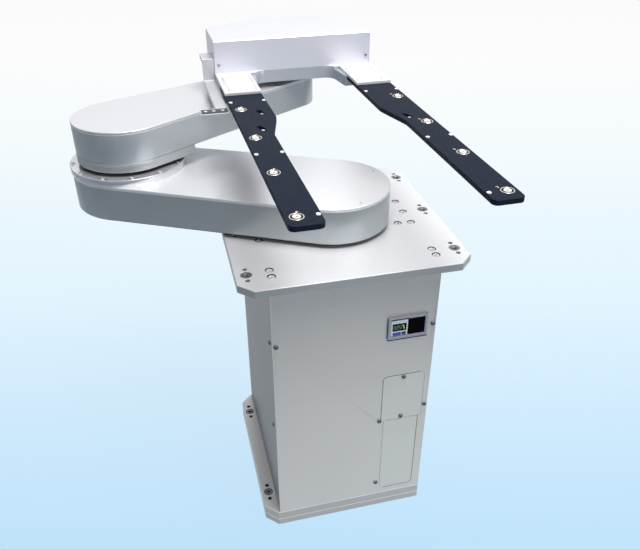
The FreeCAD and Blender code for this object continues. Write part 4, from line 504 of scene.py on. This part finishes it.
def add_piece(name, mesh, material, body, stands_for=None):
    """Puts a finished bmesh in the scene as a piece that rides on a body."""
    smooth_below = math.radians(32)
    bmesh.ops.recalc_face_normals(mesh, faces=mesh.faces)
    for face in mesh.faces:
        face.smooth = True
    for edge in mesh.edges:
        edge.smooth = edge.calc_face_angle(0) < smooth_below
    data = bpy.data.meshes.new(name)
    mesh.to_mesh(data)
    mesh.free()
    data.materials.append(material)
    piece = bpy.data.objects.new(name, data)
    bpy.context.collection.objects.link(piece)
    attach(piece, body)
    if stands_for:
        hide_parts(stands_for)


# Heads that stand alone still get this much shank.
least_shank = 0.0001


def set_of_screws(node, body, material, rise_share, shank_share, crown, wanted=None, name=None):
    """Screws in place of a node's plain ones, each as wide and long as the one it replaces."""
    kinds = {}
    for low, high in solids(node):
        if wanted and not wanted(low, high):
            continue
        span = high - low
        middle = (low + high) / 2
        # A screw is as wide as it is deep, and its length is the odd one of its three spans.
        head = sorted(span)[1]
        along = max(range(3), key=lambda axis: abs(span[axis] - head))
        # Heads face out to their side, forwards or upwards.
        outward = Vector((0, 0, 0))
        outward[along] = (math.copysign(1, middle.x), -1, 1)[along]
        rise = min(head * rise_share, span[along])
        seat = middle + outward * (span[along] / 2 - rise)
        turn = outward.to_track_quat("Z", "Y").to_matrix().to_4x4()
        kind = (round(head, 4), round(span[along] - rise, 4), round(rise, 4))
        kinds.setdefault(kind, []).append(Matrix.Translation(seat) @ turn)
    joined = bmesh.new()
    for (head, length, rise), places in kinds.items():
        screw = socket_screw(head, rise, head * shank_share, max(length, least_shank), crown)
        repeated(screw, places, joined)
    add_piece(name or node + "_turned", joined, material, body, node)


def even_finish(name, colour, grain, smooth, rough, metal=0.0, contrast=0.1, depth=0.1,
                specular=0.5):
    """A surface that is as fine in every direction."""
    return finish(name, colour, (grain, grain, grain), contrast, smooth, rough, depth, metal,
                  specular)


screw_steel = even_finish("screw_steel", (0.20, 0.21, 0.25), 300, smooth=0.16, rough=0.28,
                          metal=1.0, contrast=0.15, depth=0.2)
set_of_screws("cover_screws", "column", screw_steel, rise_share=0.267, shank_share=0.44, crown=0.75)

# ---------------------------------------------------------------- panel joints
# The joints of the two access panels stand widest at the upper one's left and top and at the
# lower one's right and foot. A flat dark bead lies in them there as painted shade of the open
# joint.
panel_corner, joint_gap = 0.009, 0.0005
bead_wide, bead_thick = 0.0011, 0.0002


def joint_shade_bead(node, name, rightward, upward):
    """A flat dark bead of painted shade along one side and one end of a panel, and round the corner
    between.
    """
    low, high = (Vector(corner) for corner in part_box(node))
    half = (high - low) / 2
    bead = bmesh.new()
    start = Matrix.Translation((half.x + joint_gap / 2, 0, -half.z))
    bmesh.ops.create_grid(
        bead, x_segments=1, y_segments=1, size=0.5,
        matrix=start @ Matrix.Diagonal((bead_wide, bead_thick, 1, 1)),
    )
    # The face is drawn up the side, turned round the corner, and drawn on along the end.
    side_run = bmesh.ops.extrude_face_region(bead, geom=bead.faces[:])["geom"]
    moved = [part for part in side_run if isinstance(part, bmesh.types.BMVert)]
    bmesh.ops.translate(bead, vec=(0, 0, half.z * 2 - panel_corner), verts=moved)
    corner_run = bmesh.ops.spin(
        bead, geom=side_run, cent=(half.x - panel_corner, 0, half.z - panel_corner),
        axis=(0, -1, 0), angle=math.pi / 2, steps=8, use_duplicate=False,
    )["geom_last"]
    end_face = [part for part in corner_run if isinstance(part, bmesh.types.BMFace)]
    end_run = bmesh.ops.extrude_face_region(bead, geom=end_face)["geom"]
    moved = [part for part in end_run if isinstance(part, bmesh.types.BMVert)]
    bmesh.ops.translate(bead, vec=(panel_corner * 2 - half.x * 2, 0, 0), verts=moved)
    # A face that the runs leave inside, where they meet, goes.
    inner = [face for face in bead.faces if all(len(edge.link_faces) > 2 for edge in face.edges)]
    bmesh.ops.delete(bead, geom=inner, context="FACES_ONLY")
    bmesh.ops.scale(bead, vec=(rightward, 1, upward), verts=bead.verts)
    middle = (low + high) / 2
    bmesh.ops.translate(bead, vec=(middle.x, low.y, middle.z), verts=bead.verts)
    add_piece(name, bead, joint_shade_black, "column")


# Painted shade in the widest joints of the access panels.
joint_shade_bead("upper_access_panel", "upper_panel_shade_bead", -1, 1)
joint_shade_bead("lower_access_panel", "lower_panel_shade_bead", 1, -1)

# ---------------------------------------------------------------- panel gauges
# Two square panel instruments in a light moulded bezel: a pressure gauge with a lit window
# and two keys, and beside it one that is dark.
moulded_grey = even_finish("moulded_grey", (0.36, 0.36, 0.42), 60, smooth=0.35, rough=0.45,
                           contrast=0.04)
dress("gauge_bezel", moulded_grey, 0.0008)
moulded_pale = even_finish("moulded_pale", (0.80, 0.81, 0.84), 60, smooth=0.3, rough=0.4,
                           contrast=0.04)
dress("pressure_gauge", moulded_pale, 0.0006)
dark_window = even_finish("dark_window", (0.002, 0.001, 0.002), 9, smooth=0.2, rough=0.26,
                          depth=0, specular=0.03)
dress("gauge_blank", dark_window, 0.0003)
dress("gauge_display", dark_window, 0)
key_blue = even_finish("key_blue", (0.05, 0.07, 0.42), 90, smooth=0.3, rough=0.4)
dress("gauge_button_left", key_blue, 0.0008)
key_dark = even_finish("key_dark", (0.03, 0.035, 0.08), 90, smooth=0.3, rough=0.4)
dress("gauge_button_right", key_dark, 0.0008)


def lit_segments(name, colour, power):
    """A segment of a display that glows, a little unevenly."""
    material, tree, shader = new_material(name)
    spot = tree.nodes.new("ShaderNodeTexCoord")
    cloud = add_node(tree, "ShaderNodeTexNoise", Scale=400.0)
    tree.links.new(spot.outputs["Object"], cloud.inputs["Vector"])
    dim = tuple(part * 0.6 for part in colour)
    glow = ramp(tree, cloud.outputs["Fac"], [(0.3, dim), (0.7, colour)])
    tree.links.new(glow, shader.inputs["Base Color"])
    tree.links.new(glow, shader.inputs["Emission Color"])
    shader.inputs["Emission Strength"].default_value = power
    return material


def add_block(mesh, size, middle):
    """Adds a plain block to a bmesh."""
    corners = bmesh.ops.create_cube(mesh, size=1)["verts"]
    bmesh.ops.scale(mesh, vec=size, verts=corners)
    bmesh.ops.translate(mesh, vec=middle, verts=corners)


bar_thick = 0.0002


def bars(spots, face):
    """Thin bars on a display's face, each given by its middle and size across and up."""
    mesh = bmesh.new()
    for across, up, width, height in spots:
        add_block(mesh, (width, bar_thick, height), (across, face, up))
    return mesh


# Which of a digit's seven bars are lit: top, two left, middle, two right, bottom.
lit_bars = {"0": "1110111", "2": "1011101", "5": "1101011"}
display_low, display_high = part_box("gauge_display")
display_face = display_low[1] - bar_thick / 2
digit_width, digit_height, digit_gap, bar_width = 0.0034, 0.0072, 0.0018, 0.0009
digit_start = display_low[0] + 0.0026
digit_base = display_low[2] + 0.0045
lit = []
for place, digit in enumerate("025"):
    left = digit_start + place * (digit_width + digit_gap)
    right = left + digit_width
    middle = left + digit_width / 2
    half = digit_height / 2
    shape = [
        (middle, digit_base + digit_height, digit_width, bar_width),
        (left, digit_base + half * 1.5, bar_width, half),
        (left, digit_base + half * 0.5, bar_width, half),
        (middle, digit_base + half, digit_width, bar_width),
        (right, digit_base + half * 1.5, bar_width, half),
        (right, digit_base + half * 0.5, bar_width, half),
        (middle, digit_base, digit_width, bar_width),
    ]
    lit += [bar for bar, on in zip(shape, lit_bars[digit]) if on == "1"]
teal_glow = lit_segments("teal_glow", (0.11, 0.24, 0.21), 0.6)
add_piece("display_digits", bars(lit, display_face), teal_glow, "column")
# Beside the digits stands a curved scale of six bars.
scale_middle, scale_swing, scale_pitch = display_high[0] - 0.0055, 0.0012, 0.0016
scale_bars = [
    (scale_middle + scale_swing * math.cos(step / 2), digit_base + step * scale_pitch,
     0.0034, 0.0011)
    for step in range(6)
]
lime_glow = lit_segments("lime_glow", (0.34, 0.42, 0.13), 0.6)
add_piece("display_scale", bars(scale_bars, display_face), lime_glow, "column")

# Dark strips of painted shade show as a line under the bezel and beside it, and over the lit gauge.
black_bush_and_shade = even_finish("black_bush_and_shade", (0.02, 0.02, 0.03), 90, smooth=0.6, rough=0.7,
                           specular=0.1)
bezel_low, bezel_high = (Vector(corner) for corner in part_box("gauge_bezel"))
gauge_low, gauge_high = (Vector(corner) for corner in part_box("pressure_gauge"))
bezel_middle = (bezel_low + bezel_high) / 2
bezel_span = bezel_high - bezel_low
gauge_middle = (gauge_low + gauge_high) / 2
gauge_wide = gauge_high.x - gauge_low.x
bezel_front, cover_face = bezel_low.y, bezel_high.y
past_end, side_thick, side_level = 0.001, 0.0006, cover_face - 0.0002
# Painted shade of the gaps round the bezel and over the lit gauge.
bezel_shade = bmesh.new()
add_block(bezel_shade, (bezel_span.x + past_end, 0.003, 0.0016),
          (bezel_middle.x, bezel_front + 0.0014, bezel_low.z - 0.0007))
add_block(bezel_shade, (0.001, side_thick, bezel_span.z),
          (bezel_low.x - 0.0004, side_level, bezel_middle.z))
add_block(bezel_shade, (0.0012, side_thick, bezel_span.z),
          (bezel_high.x + 0.0005, side_level, bezel_middle.z))
add_block(bezel_shade, (gauge_wide + past_end, 0.001, 0.0022),
          (gauge_middle.x, bezel_front + 0.0003, gauge_high.z + 0.001))
add_piece("bezel_shade_strips", bezel_shade, black_bush_and_shade, "column")

# ---------------------------------------------------------------- rear connectors
# A sheet panel low on the rear wall: two round receptacles, each with its ring of contacts,
# and two air fittings whose release collars are pressed to free a tube.
dress("connector_panel", brushed_sheet, 0.0003)
blackened = even_finish("blackened_shell", (0.05, 0.052, 0.06), 300, smooth=0.3, rough=0.45,
                        metal=0.6, contrast=0.2, depth=0.2)
dress("signal_connectors", blackened, 0.0006)
brass = even_finish("turned_brass", (0.62, 0.47, 0.22), 400, smooth=0.25, rough=0.4, metal=1.0)
dress("air_fittings", brass, 0.0004)


def rearward(spot):
    """Where a piece that was turned about Z stands when it faces the rear."""
    return Matrix.Translation(spot) @ Matrix.Rotation(-math.pi / 2, 4, "X")


contact_width, contact_reach = 0.0016, 0.007
contact_outline = [
    (0, contact_reach), (contact_width * 0.3, contact_reach),
    (contact_width / 2, contact_reach - 0.0006), (contact_width / 2, 0), (0, 0),
]
# The contacts stand on a floor sunk by a share of the receptacle's depth.
floor_share = 0.35
contact_places = []
for low, high in solids("signal_connectors"):
    sunk = (high.y - low.y) * floor_share
    seat = Vector(((low.x + high.x) / 2, high.y - sunk, (low.z + high.z) / 2))
    for ring, count in ((0, 1), (0.0042, 6), (0.0083, 12)):
        for step in range(count):
            turn = math.tau * step / count
            offset = Vector((ring * math.cos(turn), 0, ring * math.sin(turn)))
            contact_places.append(rearward(seat + offset))
contacts = repeated(turned_mesh(contact_outline, 10), contact_places)
add_piece("connector_contacts", contacts, brass, "column")

tube_radius, collar_radius, collar_deep = 0.0031, 0.0052, 0.0012
collar_chamfer, collar_proud = 0.0006, 0.0001
collar_outline = [
    (tube_radius, collar_deep), (collar_radius - collar_chamfer, collar_deep),
    (collar_radius, collar_deep - collar_chamfer), (collar_radius, 0), (tube_radius, 0),
    (tube_radius, collar_deep),
]
collar_sunk = collar_deep - collar_proud
collar_places = [
    rearward(Vector(((low.x + high.x) / 2, high.y - collar_sunk, (low.z + high.z) / 2)))
    for low, high in solids("air_fittings")
]
collars = repeated(turned_mesh(collar_outline), collar_places)
add_piece("release_collars", collars, blackened, "column")

# ---------------------------------------------------------------- top plate
# One milled aluminium plate with chamfered corners, its sides and holes darkened by painted shade.
# Round steel bushes stand in its sides, each between two tapped jack holes, and sunk cap screws
# hold it down on the walls, each in a black ring of painted shade in the gap round its head.
def milled_finish(name, colour, contrast, smooth, metal):
    """Aluminium milled from side to side."""
    return finish(name, colour, (8, 700, 700), contrast, smooth, rough=0.46, metal=metal)


plate_milled = milled_finish("plate_milled", (0.86, 0.86, 0.88), 0.05, 0.34, metal=0.3)
plate_foot, plate_top = levels("top_plate")
plate_edge = 0.0006
# Painted shade: the plate is darker on its sides and in its holes than on its top.
mark_levels(plate_milled, [(plate_foot + lip, plate_top - plate_edge - 0.0001, (0.52, 0.53, 0.52))])
dress("top_plate", plate_milled, plate_edge, merge_flats=True)
bush_steel = even_finish("bush_steel", (0.26, 0.26, 0.27), 500, smooth=0.35, rough=0.5,
                         metal=0.8, contrast=0.2, depth=0.2)
dress("level_bushes", bush_steel, 0.0006)
dress("dust_seal", blackened)
plated_steel = even_finish("plated_steel", (0.94, 0.94, 0.95), 300, smooth=0.2, rough=0.3,
                           metal=0.35, contrast=0.06, depth=0.2)
set_of_screws("plate_screws", "column", plated_steel, rise_share=0.645, shank_share=0.645,
              crown=0.12)


def turned_ring(inner, outer, foot, inner_top, outer_top, steps=24):
    """A ring turned about Z, whose top may slope between its inner and its outer edge."""
    return turned_mesh([
        (inner, foot), (inner, inner_top), (outer, outer_top), (outer, foot), (inner, foot),
    ], steps)


def standing(low, high, level, further=0):
    """Where an upright piece stands, at a level, over the middle of a box or further back."""
    return Matrix.Translation(((low.x + high.x) / 2, (low.y + high.y) / 2 + further, level))


# A black ring of painted shade in the gap round each screw head.
shade_ring = turned_ring(0.0064, 0.0074, foot=-0.0022, inner_top=-0.0003, outer_top=-0.0001)
shade_ring_places = [standing(low, high, plate_top) for low, high in solids("plate_screws")]
add_piece("screw_shade_rings", repeated(shade_ring, shade_ring_places), black_bush_and_shade, "column")


def tapped_sleeve(width, length, pitch):
    """The threads of a tapped hole, as a thin ridged sleeve that hangs below the origin."""
    clearance, sleeve_thick = 0.00002, 0.0001
    outer = width / 2 - clearance
    root = outer - sleeve_thick
    crest = root - pitch * 0.5
    outline = [(outer, -length), (outer, 0), (root, 0)]
    for turn in range(int(length / pitch)):
        outline.append((crest, -(turn + 0.5) * pitch))
        outline.append((root, -(turn + 1) * pitch))
    return turned_mesh(outline + [(root, -length), (outer, -length)])


mounts = {mount["name"]: mount for mount in frame["record"]["mounts"]}
floor_jacks = mounts["floor_jacks_front"]["dims"]
jack_width = floor_jacks["hole_r_mm"] * 0.002
jack_step = floor_jacks["spacing_y_mm"] * 0.0005
# Every thread starts and ends a little inside the faces of its hole.
jack_inset, bush_inset = 0.001, 0.0008
bush_boxes = solids("level_bushes")
jack_deep = plate_top - plate_foot - jack_inset * 2
plate_jacks = [
    standing(low, high, plate_top - jack_inset, step)
    for low, high in bush_boxes for step in (-jack_step, jack_step)
]
plate_threads = repeated(tapped_sleeve(jack_width, jack_deep, 0.00125), plate_jacks)
add_piece("plate_threads", plate_threads, bush_steel, "column")
bush_bore = mounts["plate_corner_bushes"]["dims"]["hole_r_mm"] * 0.002
bush_low, bush_high = bush_boxes[0]
bush_deep = bush_high.z - bush_low.z - bush_inset * 2
bush_tops = [standing(low, high, high.z - bush_inset) for low, high in bush_boxes]
bush_threads = repeated(tapped_sleeve(bush_bore, bush_deep, 0.0015), bush_tops)
add_piece("bush_threads", bush_threads, bush_steel, "column")

# ---------------------------------------------------------------- fittings of the base ear
# Each floor bolt passes a bright hardened collar inside a black retaining bush. A tapped
# jack hole on either side of it takes a levelling screw.
bolts = [Vector(mounts[name]["pos_m"]) for name in ("floor_jacks_front", "floor_jacks_rear")]
bolt_places = [standing(bolt, bolt, flange_top) for bolt in bolts]
bush = turned_ring(0.0066, 0.0089, foot=-0.0028, inner_top=-0.0005, outer_top=-0.0002)
add_piece("bolt_bushes", repeated(bush, bolt_places), black_bush_and_shade, "column")
collar = turned_ring(0.0056, 0.0065, foot=-0.0028, inner_top=-0.0003, outer_top=-0.0003)
add_piece("bolt_collars", repeated(collar, bolt_places), plated_steel, "column")
tapped_dark = even_finish("tapped_steel", (0.07, 0.07, 0.075), 500, smooth=0.3, rough=0.4,
                          metal=0.8, contrast=0.2, depth=0.2)
floor_jack_places = [
    standing(bolt, bolt, flange_top - jack_inset, step)
    for bolt in bolts for step in (-jack_step, jack_step)
]
floor_sleeve = tapped_sleeve(jack_width, flange_top - jack_inset * 2, 0.0015)
floor_threads = repeated(floor_sleeve, floor_jack_places)
add_piece("floor_threads", floor_threads, tapped_dark, "column")

# ---------------------------------------------------------------- lift inside the column
# Two ground steel rails guide a milled carriage that carries the arm's tube and drives; a
# black motor under them turns the ball screw that raises it. The arm's shafts and bearings
# are of the same ground steel.
ground_steel = finish("ground_steel", (0.50, 0.51, 0.53), (400, 400, 8), 0.06, smooth=0.2,
                      rough=0.3)
for part in ("linear_rails", "guide_blocks", "ball_screw", "ball_nut", "shaft_bearings",
             "link_bearings", "upper_link_bearings", "swivel_shaft", "arm_shaft",
             "elbow_shaft", "elbow_post", "wrist_shaft"):
    dress(part, ground_steel)
for part in ("lift_carriage", "lift_tube", "arm_drives"):
    dress(part, milled_along)
dress("lift_motor", blackened)

# ---------------------------------------------------------------- links
# Two cast housings with flat covers, machined all over and finely blasted. A belly plate
# closes the upper one, and a polished ring bolted to the lower one carries it at the elbow.
def blasted_finish(name, colour, metal=0.6, specular=0.5):
    """Aluminium blasted with fine beads."""
    return even_finish(name, colour, 500, smooth=0.32, rough=0.42, metal=metal, contrast=0.03,
                       specular=specular)


# Each side ends under the cover in a painted highlight along its top edge, the sides below are
# tinted a little darker, and the lowest rims of the lower housing and the belly carry painted
# shade.
highlight_band, edge_line, under_foot = 0.0013, 0.0015, 0.001
blasted = blasted_finish("blasted_shell", (0.64, 0.66, 0.69))
upper_foot, upper_top = levels("upper_link_housing")
# Painted highlight along the top edge of the upper housing's sides.
mark_levels(blasted, [
    (upper_foot, upper_top - edge_line, (0.88, 0.90, 0.90)),
    (upper_top - highlight_band, upper_top, (1.4, 1.4, 1.36)),
])
dress("upper_link_housing", blasted, 0.0014, merge_flats=True)
blasted_lower = blasted_finish("blasted_lower", (0.64, 0.66, 0.69))
lower_foot, lower_top = levels("lower_link_housing")
lower_shade_top = lower_foot + 0.0016
# Painted shade on the lower housing's lowest rim, and a painted highlight along its top edge.
mark_levels(blasted_lower, [
    (lower_foot - under_foot, lower_shade_top, (0.12, 0.12, 0.13)),
    (lower_shade_top, lower_top - edge_line, (0.81, 0.84, 0.82)),
    (lower_top - highlight_band, lower_top, (1.4, 1.4, 1.36)),
])
dress("lower_link_housing", blasted_lower, 0.0014, merge_flats=True)
blasted_under = blasted_finish("blasted_under", (0.55, 0.57, 0.58))
belly_foot = levels("belly_cover")[0]
belly_shade_top = belly_foot + 0.0012
# Painted shade on the belly cover's lowest rim.
mark_levels(blasted_under, [(belly_foot - under_foot, belly_shade_top, (0.15, 0.15, 0.16))])
dress("belly_cover", blasted_under, 0.0005)
upper_plate = blasted_finish("upper_plate", (0.77, 0.77, 0.80))
dress("upper_link_cover", upper_plate, 0.0004)
# The upper cover's finish made lighter and less metallic: painted light where the upper link and
# the hand shade it.
lightened_lower_plate = blasted_finish("lightened_lower_plate", (0.93, 0.93, 0.95), metal=0.45)
dress("lower_link_cover", lightened_lower_plate, 0.0004)
seam_shade_finish = even_finish("seam_shade_line", (0.10, 0.11, 0.12), 90, smooth=0.5, rough=0.6, specular=0.2)


def seam_line(node, name, body):
    """A thin dark line of painted shade round a cover, at the foot of its side."""
    inset, line_wide, line_thick = 0.00005, 0.0006, 0.0003
    ribbon = merged_copy(node)
    low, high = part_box(node)
    below = low[2] + inset
    above = below + line_wide
    for level, upward in ((above, 1), (below, -1)):
        bmesh.ops.bisect_plane(
            ribbon, geom=ribbon.verts[:] + ribbon.edges[:] + ribbon.faces[:],
            plane_co=(0, 0, level), plane_no=(0, 0, upward), clear_outer=True,
        )
    level_faces = [face for face in ribbon.faces if abs(face.normal.z) > 0.5]
    bmesh.ops.delete(ribbon, geom=level_faces, context="FACES")
    # The screw holes' rims go, and only the long outline of the cover stays.
    reach = max(high[0] - low[0], high[1] - low[1]) * 0.25
    for part in separate_parts(ribbon):
        spread = [vertex.co.x for vertex in part]
        if max(spread) - min(spread) < reach:
            bmesh.ops.delete(ribbon, geom=part, context="VERTS")
    bmesh.ops.recalc_face_normals(ribbon, faces=ribbon.faces)
    bmesh.ops.solidify(ribbon, geom=ribbon.faces[:], thickness=line_thick)
    add_piece(name, ribbon, seam_shade_finish, body)


# Dark lines of painted shade at the foot of each cover's side.
seam_line("lower_link_cover", "lower_seam", "lower_link")
seam_line("upper_link_cover", "upper_seam", "upper_link")
turned = finish("turned_ring", (0.74, 0.74, 0.78), (500, 500, 20), 0.08, smooth=0.16,
                rough=0.26, metal=0.62)
dress("elbow_ring", turned, 0.0008)
bright_steel = even_finish("bright_steel", (0.75, 0.76, 0.78), 300, smooth=0.2, rough=0.3,
                           metal=0.7, depth=0.2)
set_of_screws("lower_link_screws", "lower_link", bright_steel, rise_share=0.571,
              shank_share=0.571, crown=0.15)
belt_black = even_finish("belt_black", (0.02, 0.02, 0.02), 50, smooth=0.6, rough=0.7)
for belt in ("lower_belt", "upper_belt"):
    dress(belt, belt_black, 0)

# ---------------------------------------------------------------- hand
# A folded sheet cover on a milled base plate with a deep notch; two flat clamps hold the
# fingers, and a bracket on the left carries a foot with a dark insert held by small screws.
hand_milled = milled_finish("hand_milled", (0.86, 0.86, 0.89), 0.05, 0.34, metal=0.4)
hand_foot, hand_top = levels("hand_base_plate")
# Painted shade: the base plate is darker everywhere below its top face.
mark_levels(hand_milled, [(hand_foot, hand_top - 0.0005, (0.60, 0.63, 0.66))])
dress("hand_base_plate", hand_milled, 0.0004)
clamp_plate = milled_finish("clamp_plate", (0.88, 0.88, 0.90), 0.04, 0.36, metal=0.3)
dress("finger_clamps", clamp_plate, 0.0004)
bracket_milled = milled_finish("bracket_milled", (0.71, 0.71, 0.74), 0.04, 0.36, metal=0.6)
dress("side_bracket", bracket_milled, 0.0006)
housing_sheet = blasted_finish("housing_sheet", (0.79, 0.80, 0.87), metal=0.35, specular=0.1)
dress("hand_housing", housing_sheet, 0.0006)
insert_low, insert_high = (Vector(corner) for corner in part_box("foot_insert"))
foot_dark = even_finish("foot_dark", (0.04, 0.045, 0.055), 200, smooth=0.3, rough=0.45, metal=0.2,
                        contrast=0.2)
# The insert's cap is a broader plate that stands on the bracket's foot.
cap_past_side, cap_past_end, cap_thick, cap_rise = 0.0045, 0.0085, 0.0012, 0.0016
insert_span = insert_high - insert_low
insert_middle = (insert_low + insert_high) / 2
cap_top = insert_high.z + cap_rise
cap = bmesh.new()
add_block(cap, (insert_span.x + cap_past_side, insert_span.y + cap_past_end, cap_thick),
          (insert_middle.x, insert_middle.y, cap_top - cap_thick / 2))
bmesh.ops.bevel(cap, geom=cap.edges[:], offset=0.0003, segments=2, profile=0.5, affect="EDGES",
                material=-1)
add_piece("foot_cap", cap, foot_dark, "hand", "foot_insert")
small_steel = even_finish("small_steel", (0.42, 0.43, 0.46), 300, smooth=0.2, rough=0.3,
                          metal=0.9, depth=0.2)
# The screws of the housing stand above the clamps', and those in the slot below the fingers.
clamp_screw_level = levels("finger_clamps")[1] + 0.002
finger_level = levels("left_finger")[1]
least_length = 0.0055
set_of_screws(
    "hand_screws", "hand", small_steel, rise_share=0.267, shank_share=0.555, crown=0.5,
    wanted=lambda low, high: high.z - low.z > least_length and high.z > clamp_screw_level,
)
set_of_screws(
    "hand_screws", "hand", clamp_plate, rise_share=0.2, shank_share=0.555, crown=0.5,
    wanted=lambda low, high: finger_level < high.z < clamp_screw_level, name="clamp_screws",
)
slot_places = [
    standing(low, high, low.z) for low, high in solids("hand_screws") if high.z < finger_level
]
slot_screw = socket_screw(head=0.0062, rise=0.0042, shank=0.004, length=least_shank, crown=0.2)
slot_screws = repeated(slot_screw, slot_places)
add_piece("slot_screws", slot_screws, bright_steel, "hand")
insert_places = [
    Matrix.Translation((insert_low.x + insert_span.x * share, insert_middle.y, cap_top))
    for share in (0.12, 0.46, 0.84)
]
insert_screw = socket_screw(head=0.007, rise=0.0012, shank=0.003, length=0.001, crown=0.5)
insert_screws = repeated(insert_screw, insert_places)
add_piece("insert_screws", insert_screws, bright_steel, "hand")

# ---------------------------------------------------------------- fingers
# Flat blades of black carbon composite, satin and finely woven, with white rest studs
# pressed in along their edges and dark oval slots near the hand.
composite = finish("black_composite", (0.010, 0.015, 0.030), (200, 30, 200), 0.2, smooth=0.5,
                   rough=0.6, depth=0.1, metal=0.0, specular=0.08)
for finger in ("left_finger", "right_finger"):
    dress(finger, composite, 0.0004)
white_stud = even_finish("white_stud", (0.95, 0.95, 0.95), 200, smooth=0.4, rough=0.6)
dress("rest_studs", white_stud, 0.0004)

# ---------------------------------------------------------------- vacuum pads
# Cream pads with a raised lip and a suction port, each in a thin plated ring whose tail
# leads back along the finger; pressed into shallow seats in the blades.
plated = even_finish("plated_ring", (0.80, 0.78, 0.72), 400, smooth=0.2, rough=0.3, metal=0.8,
                     contrast=0.08)
cream = even_finish("cream_pad", (0.80, 0.77, 0.68), 200, smooth=0.4, rough=0.6)
ring_boxes = solids("pad_rings")
ring_low, ring_high = ring_boxes[0]
seat_radius = (ring_high.x - ring_low.x) / 2
ring_radius = seat_radius * 0.84
ring_deep = ring_high.z - ring_low.z
ring_wide, ring_chamfer, ring_proud, ring_steps = 0.0016, 0.0004, 0.0001, 40
ring_inner = ring_radius - ring_wide
ring_crown = ring_deep + ring_proud
ring_outline = [
    (ring_inner, ring_crown - ring_chamfer), (ring_inner + ring_chamfer, ring_crown),
    (ring_radius - ring_chamfer, ring_crown), (ring_radius, ring_crown - ring_chamfer),
    (ring_radius, 0), (ring_inner, 0), (ring_inner, ring_crown - ring_chamfer),
]
ring_places = [standing(low, high, low.z) for low, high in ring_boxes]
pad_rings = repeated(turned_mesh(ring_outline, ring_steps), ring_places)
add_piece("pad_rings_turned", pad_rings, plated, "hand", "pad_rings")

# A ring of the blade's own black fills the seat round each plated ring.
seat_fill = ring_deep - 0.0003
filler = turned_ring(ring_radius, seat_radius, 0, seat_fill, seat_fill, ring_steps)
add_piece("pad_seats", repeated(filler, ring_places), composite, "hand")

# A tail is a short tongue with a crossbar, a hair higher, at its end.
tails = bmesh.new()
tail_width, tail_rise, tail_length, bar_length = 0.0015, 0.0004, 0.004, 0.0034
tail_level = 0.0002 - tail_rise / 2
for low, high in ring_boxes:
    across = (low.x + high.x) / 2
    inward = math.copysign(1, -across)
    lean = 0.002 if across < 0 else 0.0085
    root = Vector((across + inward * lean, high.y - 0.003, high.z))
    add_block(tails, (tail_width, tail_length, tail_rise),
              root + Vector((0, tail_length / 2, tail_level)))
    add_block(tails, (bar_length, tail_width, tail_rise),
              root + Vector((inward * 0.001, tail_length, tail_level + 0.00001)))
add_piece("pad_tails", tails, plated, "hand")

pad_boxes = solids("vacuum_pads")
pad_low, pad_high = pad_boxes[0]
pad_radius = (pad_high.x - pad_low.x) / 2 * 0.87
pad_deep = pad_high.z - pad_low.z
port = 0.0015
pad_outline = [
    (port, pad_deep * 0.2), (port, pad_deep * 0.62), (pad_radius * 0.45, pad_deep * 0.66),
    (pad_radius * 0.66, pad_deep * 0.74), (pad_radius * 0.78, pad_deep * 0.97),
    (pad_radius * 0.88, pad_deep), (pad_radius, pad_deep * 0.88), (pad_radius, 0), (port, 0),
    (port, pad_deep * 0.2),
]
pad_places = [standing(low, high, low.z) for low, high in pad_boxes]
vacuum_pads = repeated(turned_mesh(pad_outline, 32), pad_places)
add_piece("vacuum_pads_moulded", vacuum_pads, cream, "hand", "vacuum_pads")
